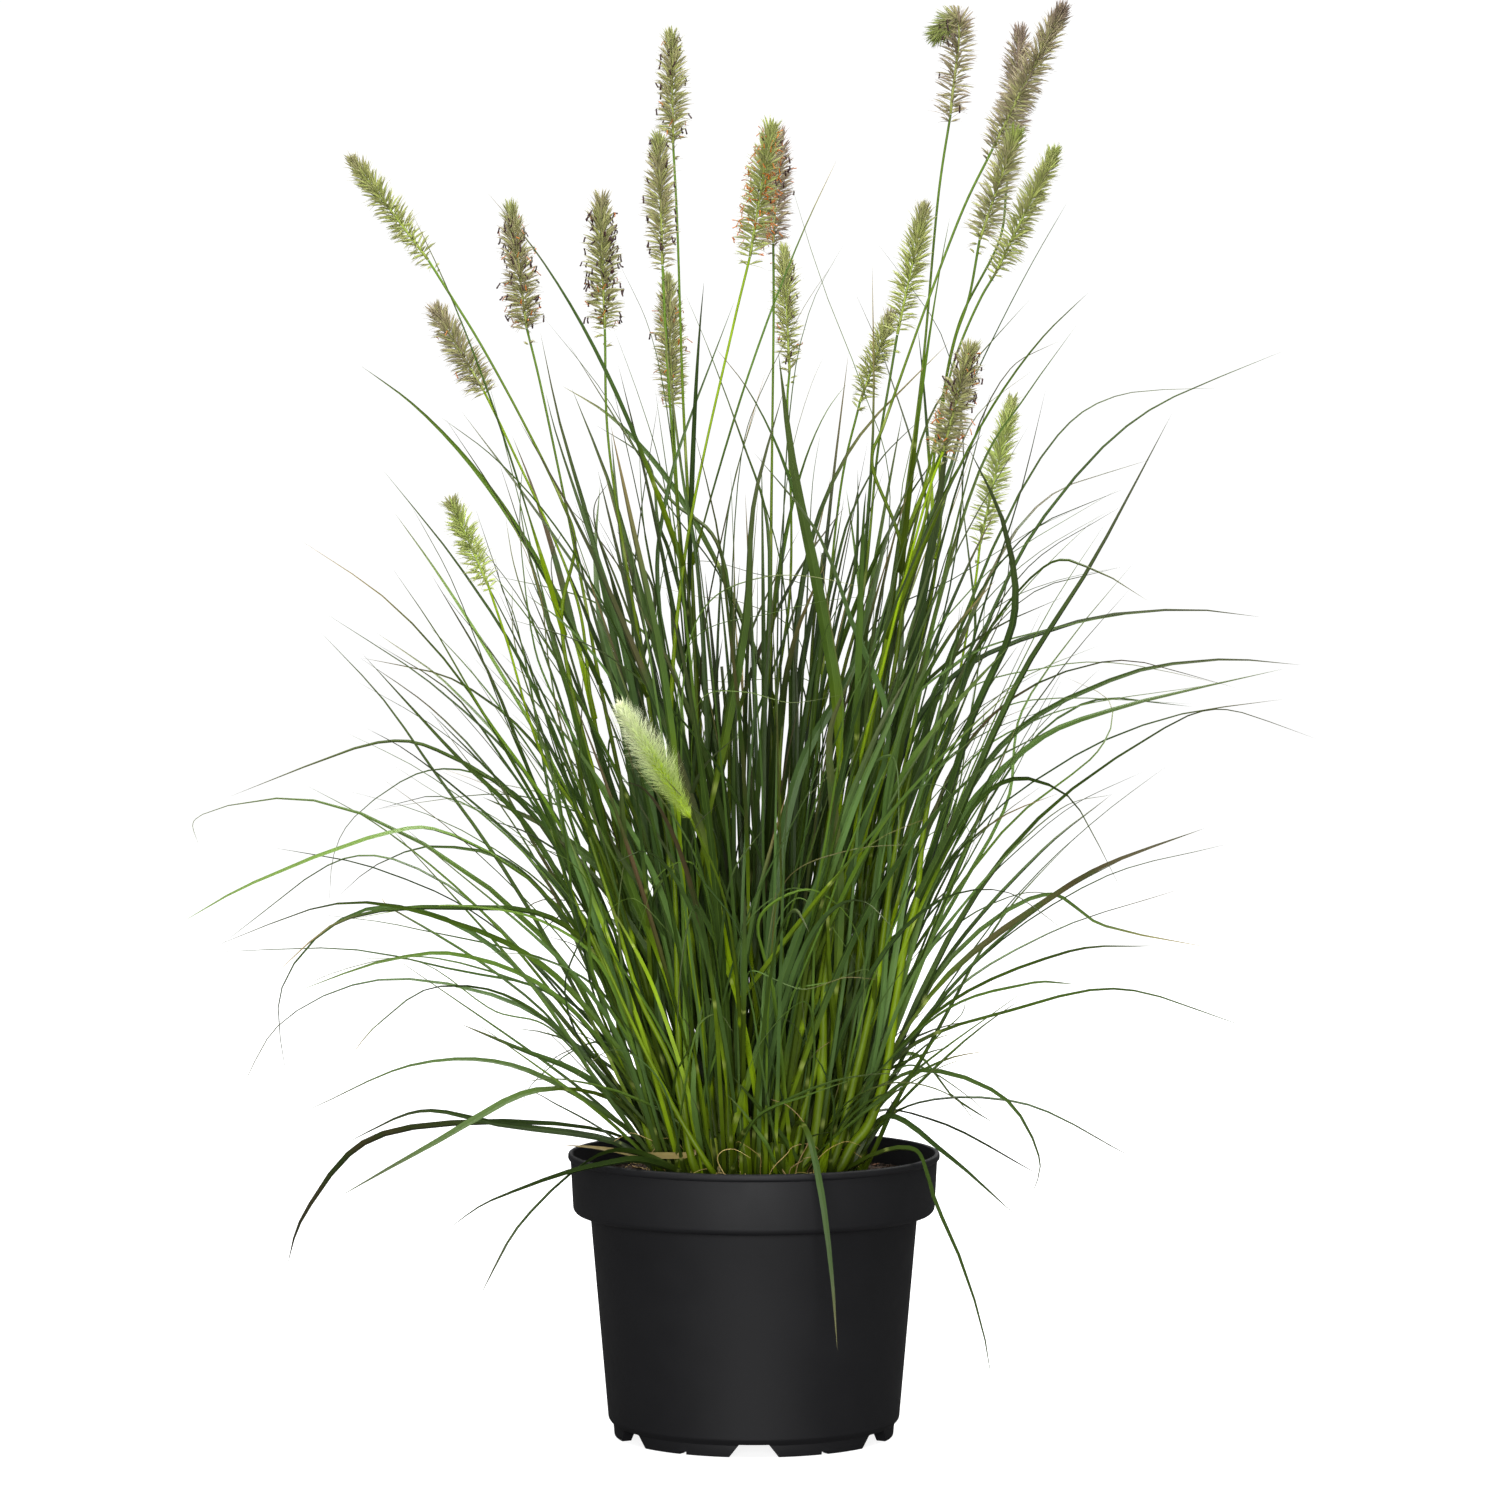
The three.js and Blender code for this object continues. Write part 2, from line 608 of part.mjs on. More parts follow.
function stemSolid(stem) {
  const tube = new THREE.CylinderGeometry(stemTopRadius, stemRadius, 1, stemSides, stemSteps);
  return solid(bentAlong(tube, stem.points, vector(0, 1, 0), (x, z) => [x, z]));
}

// The sheathed foot that a shoot's leaves and stem stand on, sunk in the soil.
function footSolid(shoot) {
  const height = shootSunk + shootRise;
  const foot = new THREE.CylinderGeometry(shootTopRadius, shootRadius, height, shootSides, 1);
  foot.rotateX(Math.PI / 2);
  foot.translate(shoot.centre.x, shoot.centre.y, soilLevel - shootSunk + height / 2);
  return solid(foot);
}

// A flower spike is a slim spindle whose surface rises in spikelets that point up and out.
// Every other point of its net is a spikelet's tip, and the net is split between them.
function spikeGeometry(spike) {
  const curve = new THREE.CatmullRomCurve3(spike.line, false, "centripetal");
  const length = curve.getLength();
  const rows = Math.round(length / spikeRowHeight);
  const net = new THREE.SphereGeometry(1, spikeColumns, rows);
  const across = spikeColumns + 1;
  const index = [];
  for (let row = 0; row < rows; row++) {
    for (let column = 0; column < spikeColumns; column++) {
      const a = row * across + column + 1;
      const b = row * across + column;
      const c = (row + 1) * across + column;
      const d = (row + 1) * across + column + 1;
      const tipsOnB = (row + column) % 2 === 0;
      if (row === 0) index.push(b, c, d);
      else if (row === rows - 1) index.push(a, b, d);
      else if (tipsOnB) index.push(a, b, c, a, c, d);
      else index.push(a, b, d, b, c, d);
    }
  }
  const half = spike.width / 2;
  const position = net.getAttribute("position");
  const side = vector(0, 1, 0);
  for (let row = 0; row <= rows; row++) {
    const share = 1 - row / rows;
    const swell = Math.pow(lerp(spikeFootShare, spikeTipShare, share), spikeSkew);
    const full = half * Math.pow(Math.sin(Math.PI * swell), spikeFullness);
    for (let column = 0; column <= spikeColumns; column++) {
      const pole = row === 0 || row === rows;
      const isTip = (row + column) % 2 === 0 && !pole;
      const radius = pole ? 0 : full * (isTip ? 1 : spikeCore);
      const rise = isTip ? Math.min(spikeletRise, (1 - share) * length * 0.6) / length : 0;
      const at = Math.min(1, share + rise);
      const centre = curve.getPoint(at);
      const forward = curve.getTangent(at);
      const above = forward.clone().cross(side).normalize();
      const sideways = above.clone().cross(forward).normalize();
      const turn = ((column % spikeColumns) * 2 * Math.PI) / spikeColumns;
      centre.addScaledVector(sideways, radius * Math.cos(turn));
      centre.addScaledVector(above, radius * Math.sin(turn));
      position.setXYZ(row * across + column, centre.x, centre.y, centre.z);
    }
  }
  net.setIndex(index);
  return net;
}

// The pot: one wall that steps out to the band under its lip, on a raised floor and a foot ring.
function potGeometry() {
  const profile = [
    [0, bodyBottom - floorDrop],
    [footInnerRadius - floorDrop, bodyBottom - floorDrop],
    [footInnerRadius, 0],
    [footRadius, 0],
    [footRadius + footFlare, footStep],
    [bodyBottomRadius, bodyBottom],
    [bodyTopRadius, bandBottom],
    [bandBottomRadius - bandRoundDepth, bandBottom],
    [bandBottomRadius, bandBottom + bandRound],
    [bandTopRadius, potHeight - lipDepth - lipRound],
    [lipRadius, potHeight - lipDepth],
    [lipRadius, potHeight - lipRound],
    [lipRadius - lipRound, potHeight],
    [bandTopRadius - wall + lipInset, potHeight],
    [bandBottomRadius - wall, bandBottom + stepSlope],
    [bodyTopRadius - wall, bandBottom + wall],
    [bodyBottomRadius - wall, bodyBottom + wall],
    [0, bodyBottom - floorDrop + wall],
  ];
  const points = profile.map(([radius, height]) => new THREE.Vector2(radius, height));
  const turned = new THREE.LatheGeometry(points, potSides);
  turned.rotateX(Math.PI / 2);
  let body = solid(turned);
  if (body.volume() < 0) throw new Error("the pot's profile runs the wrong way");
  for (let i = 0; i < footCount; i++) {
    const turn = -Math.PI / 2 + (i * 2 * Math.PI) / footCount;
    body = body.subtract(radialBar(notchBottomWidth, notchTopWidth, notchHeight, turn));
    const middle = turn + Math.PI / footCount;
    body = body.subtract(radialBar(stepWidth, stepWidth, stepHeight, middle));
  }
  for (let i = 0; i < drainCount; i++) {
    const turn = (i * 2 * Math.PI) / drainCount;
    const drill = new THREE.CylinderGeometry(drainDiameter / 2, drainDiameter / 2, 4 * wall, 6);
    drill.rotateX(Math.PI / 2);
    drill.translate(drainRing * Math.cos(turn), drainRing * Math.sin(turn), bodyBottom);
    body = body.subtract(solid(drill));
  }
  return geometryOf(body);
}

// A bar that runs out through the foot ring, to cut a notch: wide at the floor, narrow on top.
function radialBar(lowWidth, highWidth, height, turn) {
  const slope = (lowWidth - highWidth) / (2 * height);
  const low = lowWidth / 2 + slope * notchBelow;
  const shape = new THREE.Shape([
    new THREE.Vector2(-low, -notchBelow),
    new THREE.Vector2(low, -notchBelow),
    new THREE.Vector2(highWidth / 2, height),
    new THREE.Vector2(-highWidth / 2, height),
  ]);
  const bar = new THREE.ExtrudeGeometry(shape, { depth: notchReach, bevelEnabled: false });
  bar.rotateX(Math.PI / 2);
  bar.translate(0, footInnerRadius + notchReach / 2, 0);
  bar.rotateZ(turn - Math.PI / 2);
  return solid(bar);
}

// The soil fills the pot from its floor, with an uneven top and a plain hole for each shoot.
function soilGeometry() {
  const stepLevel = bandBottom + stepSlope;
  const risen = (soilLevel - stepLevel) / (potHeight - stepLevel);
  const soilRadius = lerp(bandBottomRadius, bandTopRadius + lipInset, risen) - wall - gap;
  const profile = [
    [0, bodyBottom - floorDrop + wall + gap],
    [bodyBottomRadius - wall - 2 * gap, bodyBottom + wall + gap],
    [bodyTopRadius - wall - 1.5 * gap, bandBottom + wall + gap],
    [bandBottomRadius - wall - 1.5 * gap, stepLevel + gap],
    [soilRadius, soilLevel - soilRoughness / 2],
    [soilRadius - soilBumpInset, soilLevel + soilRoughness / 2],
    [crownRadius + crownMargin, soilLevel],
    [0, soilLevel],
  ];
  const points = profile.map(([radius, height]) => new THREE.Vector2(radius, height));
  const turned = new THREE.LatheGeometry(points, potSides);
  turned.rotateX(Math.PI / 2);
  const draw = drawsFrom(77);
  const position = turned.getAttribute("position");
  const row = points.length;
  const edgeRow = 4;
  for (let column = 0; column < potSides; column++) {
    const lift = (draw() - 0.5) * 2 * soilRoughness;
    for (const place of column ? [column] : [0, potSides]) {
      const edge = place * row + edgeRow;
      position.setZ(edge, position.getZ(edge) + lift / 2);
      position.setZ(edge + 1, position.getZ(edge + 1) + lift);
    }
  }
  let body = solid(turned);
  const depth = shootSunk + gap;
  const over = 2 * soilRoughness;
  for (const { centre } of shoots) {
    const radius = shootRadius + gap / Math.cos(Math.PI / shootSides);
    const drill = new THREE.CylinderGeometry(radius, radius, depth + over, shootSides);
    drill.rotateX(Math.PI / 2);
    drill.translate(centre.x, centre.y, soilLevel + (over - depth) / 2);
    body = body.subtract(solid(drill));
  }
  return geometryOf(body);
}

// The whole plant
const plant = new THREE.Group();

function addMesh(name, geometry, finish) {
  const material = new THREE.MeshStandardMaterial({ ...colours[finish], metalness: 0 });
  const mesh = new THREE.Mesh(geometry, material);
  mesh.name = name;
  plant.add(mesh);
}

const twoDigits = (number) => String(number).padStart(2, "0");

addMesh("pot", potGeometry(), "pot");
addMesh("soil", soilGeometry(), "soil");
let flowering = 0;
let leafy = 0;
for (const shoot of shoots) {
  let body = footSolid(shoot);
  if (shoot.stem) body = body.add(stemSolid(shoot.stem));
  for (const leaf of shoot.leaves) body = body.add(leafSolid(leaf));
  body = wholePiece(body);
  if (shoot.spike) {
    flowering++;
    addMesh(`flowering_shoot_${twoDigits(flowering)}`, geometryOf(body), "foliage");
    addMesh(`flower_spike_${twoDigits(flowering)}`, spikeGeometry(shoot.spike), shoot.spike.colour);
  } else {
    leafy++;
    addMesh(`leaf_tuft_${twoDigits(leafy)}`, geometryOf(body), "foliage");
  }
}

export default plant;
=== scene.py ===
"""A potted fountain grass, finished around its packed solids."""

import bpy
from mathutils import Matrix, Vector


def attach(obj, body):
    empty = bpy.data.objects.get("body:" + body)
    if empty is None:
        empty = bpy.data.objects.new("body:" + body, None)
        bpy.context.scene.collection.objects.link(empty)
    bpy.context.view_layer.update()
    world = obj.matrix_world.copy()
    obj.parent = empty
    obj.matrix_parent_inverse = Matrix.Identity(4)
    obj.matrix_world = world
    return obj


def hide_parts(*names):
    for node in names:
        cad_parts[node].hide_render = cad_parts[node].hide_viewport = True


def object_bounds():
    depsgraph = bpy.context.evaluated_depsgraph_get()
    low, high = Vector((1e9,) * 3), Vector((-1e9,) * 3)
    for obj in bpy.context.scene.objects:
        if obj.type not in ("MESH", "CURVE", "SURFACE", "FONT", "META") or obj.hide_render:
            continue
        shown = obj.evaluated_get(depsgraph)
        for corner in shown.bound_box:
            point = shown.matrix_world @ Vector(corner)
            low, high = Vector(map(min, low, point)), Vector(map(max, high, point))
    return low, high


bl_info = {
    "name": "Potted fountain grass",
    "version": (1, 0, 0),
    "blender": (4, 5, 0),
    "location": "View3D > Sidebar > Fountain grass",
    "description": "Grows a clump of fountain grass with bottle-brush spikes in a nursery pot",
    "category": "Add Mesh",
}

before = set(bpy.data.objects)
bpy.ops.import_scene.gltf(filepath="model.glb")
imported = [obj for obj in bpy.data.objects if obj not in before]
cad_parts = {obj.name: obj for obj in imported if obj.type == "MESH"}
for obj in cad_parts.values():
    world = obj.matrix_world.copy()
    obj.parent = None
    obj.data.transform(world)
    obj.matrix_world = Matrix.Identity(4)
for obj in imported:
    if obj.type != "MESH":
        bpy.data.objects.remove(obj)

import functools
import math
import random
from typing import NamedTuple

import bmesh
import bpy
import numpy as np
from bpy.props import FloatProperty, FloatVectorProperty, IntProperty, PointerProperty
from mathutils import Matrix, Vector, noise

CAD_BOX = [list(corner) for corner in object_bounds()]
MM = 0.001
LEAF_MARKS = ("blade", "leaf", "mood")
ALL_SHEATH = 2.0
BEHIND = (-1, -1, 1)
GOLDEN_ANGLE = math.pi * (3 - math.sqrt(5))
CAMERA = (-2, -2800, 485)
CAMERA_AIM = (-2, 0, 350.6)

# The rule that places the shoots and leaves, in millimetres, the same as the solids follow.
SOIL_LEVEL = 132
POT_HEIGHT = 145
LIP_RADIUS = 95
CROWN_RADIUS = 50
SHOOT_COUNT = 30
LEAVES_ROUND = 7
LEAF_RING = 4.2
ROOT_SUNK = 3
CLEARANCE = 0.45
SHOOT_CLEARANCE = 0.1
SHEATH_WIDTH = 2.8
SHEATH_THICKNESS = 2.4
LEAF_THICKNESS = 1.2
TIP_THICKNESS = 0.7
SHEATH_SHARE = 0.16
STEM_STEPS = 4
TRIES = 120
BENDING = 1.7
NECK = 45
PLACES_TRIED = 14
DEPTH_LIMIT = 275
INNER_WIDTH = 150
DEPTH_STEPS = (0, 8, -8, 16, -16, 24, -24, 34, -34, 44, -44, 56, -56, 70, -70, 85, -85)


class Spike(NamedTuple):
    """A flower spike on its stem, as the photograph shows it."""
    foot: tuple
    tip: tuple
    width: float
    slot: str
    brown: float  # from green to ripe
    loose: float  # how far apart its spikelets stand
    cap: float  # how far its end is green (above 0) or dark (below 0)
    anthers: int
    rust: float  # the share of its anthers that are rusty
    bright: float  # how bright its stem is
    slim: float = 1  # how much of the solid's width its spikelets fill
    via: tuple = None  # where the stem bends
    top: tuple = None  # where the spike bends
    line: tuple = None  # the places that its stem is seen to pass, on the upright plane through the middle


# Width, slot, brown, loose, cap, anthers, rust and bright follow each foot and tip.
SPIKES = (
    Spike((-163, -40, 598), (-202, -55, 650), 15, "green", 0.1, 0.8, -0.5, 0, 0, 0.45, slim=0.88,
          line=((-76, 356), (-82, 417), (-91, 457), (-98, 478), (-118, 519), (-140, 559), (-153, 580))),
    Spike((-139, 35, 534), (-166, 42, 579), 16, "purple", 0.5, 0.2, -0.4, 8, 0.1, 0.75,
          line=((-78, 376), (-90, 427), (-125, 508))),
    Spike((-132, -70, 436), (-151, -85, 481), 12, "lime", 0, 0.7, -0.6, 0, 0, 0.8,
          line=((-107, 346), (-126, 407))),
    Spike((-118, 65, 567), (-127, 75, 632), 17, "purple", 0.45, 0.1, 0.5, 110, 0.2, 0.5,
          line=((-78, 381), (-86, 427), (-109, 539))),
    Spike((-74, -65, 563), (-76, -72, 630), 17, "purple", 0.3, 0.4, -0.4, 120, 0.03, 0.55,
          line=((-72, 366), (-75, 407), (-74, 508))),
    Spike((-42, 75, 663), (-43, 85, 724), 15, "green", 0.35, 0.3, 0.4, 40, 0.1, 0.4, slim=0.9,
          line=((-19, 356), (-23, 422), (-36, 529), (-39, 620))),
    Spike((-46, -25, 596), (-48, -28, 663), 14, "green", 0.4, 0.5, 0.5, 26, 0, 0.4),
    Spike((-43, 120, 529), (-46, 135, 599), 14, "amber", 0.35, 0.2, 0.4, 40, 0.7, 0.4),
    Spike((-2, -80, 598), (9, -95, 664), 17, "amber", 0.1, 0.6, 0.3, 200, 0.95, 1, via=(-41, -60, 400),
          line=((-42, 376), (-42, 427), (-40, 447), (-36, 468), (-11, 564))),
    Spike((10, 45, 610), (13, 50, 669), 14, "purple", 0.9, 0.2, -0.4, 30, 0.5, 0.6,
          line=((13, 366), (10, 580))),
    Spike((19, 130, 546), (16, 150, 616), 12, "green", 0.15, 0.8, 0.1, 26, 0.5, 0.2,
          line=((18, 427), (19, 468), (17, 529))),
    Spike((100, 10, 674), (92, 12, 713), 17, "purple", 0.7, 0, 0.8, 10, 0, 0.35, top=(103, 11, 722),
          line=((74, 386), (82, 478), (85, 539), (94, 636))),
    Spike((119, -50, 653), (154, -65, 724), 16, "purple", 0.6, 0.2, -0.9, 0, 0, 0.35,
          line=((55, 468), (60, 498), (66, 516), (106, 625))),
    Spike((135, 90, 667), (140, 100, 726), 16, "purple", 0.8, 0.1, -0.6, 0, 0, 0.4,
          line=((95, 519), (104, 567), (125, 611), (128, 636))),
    Spike((110, -110, 605), (128, -125, 659), 16, "green", 0.35, 0.4, 0.9, 0, 0, 0.5,
          line=((87, 468), (94, 519), (102, 559), (109, 580))),
    Spike((124, 35, 594), (157, 45, 661), 14, "green", 0.12, 0.5, 0.5, 0, 0, 0.6,
          line=((92, 508), (102, 549), (115, 580))),
    Spike((72, -30, 561), (86, -35, 628), 15, "green", 0.05, 0.9, -0.5, 0, 0, 0.6,
          line=((55, 427), (63, 503), (69, 539))),
    Spike((56, 110, 529), (74, 130, 579), 13, "green", 0.1, 0.7, -0.9, 0, 0, 0.6),
    Spike((92, -120, 502), (105, -135, 554), 18, "amber", 0.4, 0, 0.2, 80, 0.35, 1,
          line=((71, 361), (89, 483))),
    Spike((118, 70, 455), (136, 85, 534), 14, "lime", 0, 0.9, -0.3, 0, 0, 1,
          line=((91, 325), (95, 353), (112, 432))),
    Spike((-31, -130, 324), (-65, -150, 380), 12, "lime", 0, 0, 0, 0, 0, 0.8),

)
SILKY_SPIKE = 20

# The leaves of the clump's outline: depth at the tip, width, and the points that each passes.
OUTLINE_LEAVES = (
    (-60, 4.5, (58, 158, -24), (89, 154, -36), (104, 130, -44), (112, 88, -52), (120, 33)),
    (-40, 4, (-69, 150), (-129, 161), (-169, 169), (-208, 153)),
    (240, 3, (-116, 282), (-164, 295), (-203, 281), (-231, 257)),
    (-112, 5, (22, 168, -70), (27, 164, -88), (33, 138, -103), (38, 100, -107), (41, 60)),
    (-60, 4, (-111, 381), (-147, 442), (-187, 494)),
    (50, 3.5, (-124, 359), (-155, 436), (-178, 476)),
    (-110, 3.5, (-108, 327), (-132, 391), (-159, 442)),
    (20, 3, (-104, 321), (-160, 380), (-220, 420)),
    (-140, 3, (-98, 302), (-134, 347), (-159, 378)),
    (-90, 3.5, (-111, 307), (-151, 351), (-195, 402)),
    (120, 3, (-100, 334), (-151, 381), (-209, 394)),
    (170, 3, (-110, 323), (-159, 378), (-204, 406)),
    (60, 3.5, (-109, 312), (-162, 349), (-191, 353), (-274, 323)),
    (-30, 3.5, (-102, 249), (-180, 310), (-235, 327), (-283, 316), (-280, 304)),
    (-70, 5, (-98, 270), (-160, 311), (-186, 310), (-254, 285), (-285, 268)),
    (110, 3.5, (-115, 242), (-163, 281), (-211, 291), (-285, 240)),
    (-150, 3.5, (-101, 239), (-157, 272), (-202, 283), (-259, 266)),
    (120, 3.5, (-100, 221), (-156, 234), (-213, 242), (-291, 237)),
    (-190, 3.5, (-92, 261), (-153, 276), (-200, 274), (-229, 252)),
    (190, 3, (-133, 247), (-184, 266), (-223, 253), (-254, 213), (-253, 151)),
    (-120, 3.5, (-98, 225), (-147, 250), (-183, 250), (-224, 238)),
    (80, 3.5, (-103, 209), (-154, 228), (-203, 228), (-248, 204), (-273, 160)),
    (-220, 3, (-113, 222), (-156, 238), (-182, 225), (-191, 215)),
    (-80, 4, (-82, 183), (-120, 203), (-147, 218)),
    (40, 4, (-73, 162), (-126, 188), (-174, 187), (-237, 159)),
    (-100, 5, (-68, 171), (-109, 181), (-157, 159), (-206, 134)),
    (130, 3.5, (-74, 153), (-155, 155), (-205, 141), (-239, 98), (-250, 67)),
    (-130, 3.5, (-60, 150, -40), (-84, 152, -66), (-119, 137, -100), (-151, 119)),
    (-160, 3.5, (-58, 150, -48), (-78, 152, -72), (-114, 124, -115), (-133, 93)),
    (210, 3, (-116, 291), (-162, 319), (-210, 307)),
    (150, 3.5, (-131, 255), (-196, 283), (-259, 291)),
    (-40, 3, (-98, 346), (-126, 431), (-140, 475)),
    (80, 3, (-99, 375), (-123, 440), (-130, 470)),
    (20, 3.5, (-94, 376), (-119, 471), (-118, 498)),
    (-40, 3.5, (125, 430), (153, 478), (194, 520), (266, 553)),
    (90, 3, (111, 427), (156, 511), (186, 531), (246, 536)),
    (-90, 5, (109, 286), (136, 388), (171, 444), (213, 523)),
    (30, 3.5, (115, 493), (139, 531), (166, 568)),
    (-60, 3, (104, 488), (128, 543), (152, 557)),
    (140, 3, (91, 447), (113, 517), (149, 547)),
    (180, 3, (107, 405), (151, 475), (218, 500)),
    (-150, 3, (93, 387), (131, 458), (179, 484)),
    (60, 3.5, (90, 355), (139, 441), (192, 475)),
    (-180, 3, (104, 387), (145, 446), (168, 443), (188, 430)),
    (230, 3, (97, 364), (142, 424), (203, 441)),
    (10, 4.5, (90, 376), (159, 414), (219, 422), (260, 418)),
    (120, 3.5, (121, 345), (186, 385), (242, 394), (291, 390)),
    (-60, 4.5, (94, 300), (142, 356), (180, 373), (264, 394)),
    (-130, 3.5, (109, 357), (173, 398), (234, 387)),
    (-20, 4.5, (105, 264), (145, 316), (195, 354), (233, 372), (285, 357)),
    (170, 3.5, (106, 298), (162, 341), (219, 362), (287, 370)),
    (240, 3, (123, 322), (175, 368), (243, 363)),
    (-210, 3, (113, 328), (149, 337), (174, 293)),
    (-100, 4.5, (94, 232), (152, 280), (176, 297), (222, 317)),
    (60, 3.5, (105, 232), (178, 282), (248, 299)),
    (160, 3.5, (96, 235), (150, 291), (193, 319)),
    (130, 3.5, (95, 216), (155, 251), (231, 271)),
    (30, 3, (100, 243), (151, 276), (178, 260), (236, 247)),
    (-160, 3.5, (88, 217), (153, 255), (195, 264)),
    (-40, 4, (74, 195), (134, 220), (185, 231), (253, 211)),
    (-190, 3.5, (89, 217), (133, 241), (154, 248)),
    (70, 3.5, (75, 165), (136, 166), (203, 131)),
    (-110, 3, (77, 187), (124, 179), (142, 151), (135, 133)),
    (180, 3, (77, 190), (106, 161), (132, 138)),
    (120, 3.5, (62, 160, 40), (96, 152, 75), (154, 117)),
    (-80, 3.5, (66, 165), (97, 150, -55), (131, 122)),
    (-70, 5.5, (-69, 399), (-83, 466), (-97, 517), (-106, 562)),
    (30, 4, (-49, 448), (-41, 498), (-47, 596)),
    (90, 3.5, (-17, 451), (-45, 480), (-99, 562)),
    (-20, 3.5, (7, 463), (-5, 505), (-25, 559)),
    (60, 3.5, (-28, 375), (-12, 479), (7, 547)),
    (-60, 3.5, (54, 427), (60, 514), (59, 597)),
    (-90, 3.5, (104, 468), (96, 553), (59, 606)),
    (100, 3.5, (90, 447), (72, 539), (53, 589)),
    (20, 3.5, (69, 483), (54, 538), (34, 590), (16, 649)),
    (-40, 4.5, (23, 427), (47, 501), (100, 559)),
    (70, 3, (18, 519), (29, 576), (47, 611)),
    (-20, 3.5, (88, 517), (115, 552), (140, 580)),
    (-285, 3.5, (-20, 240, -120), (-28, 285, -190), (-34, 262, -255), (-36, 225)),
    (285, 3.5, (24, 250, 125), (34, 300, 195), (40, 280, 258), (42, 248)),
)

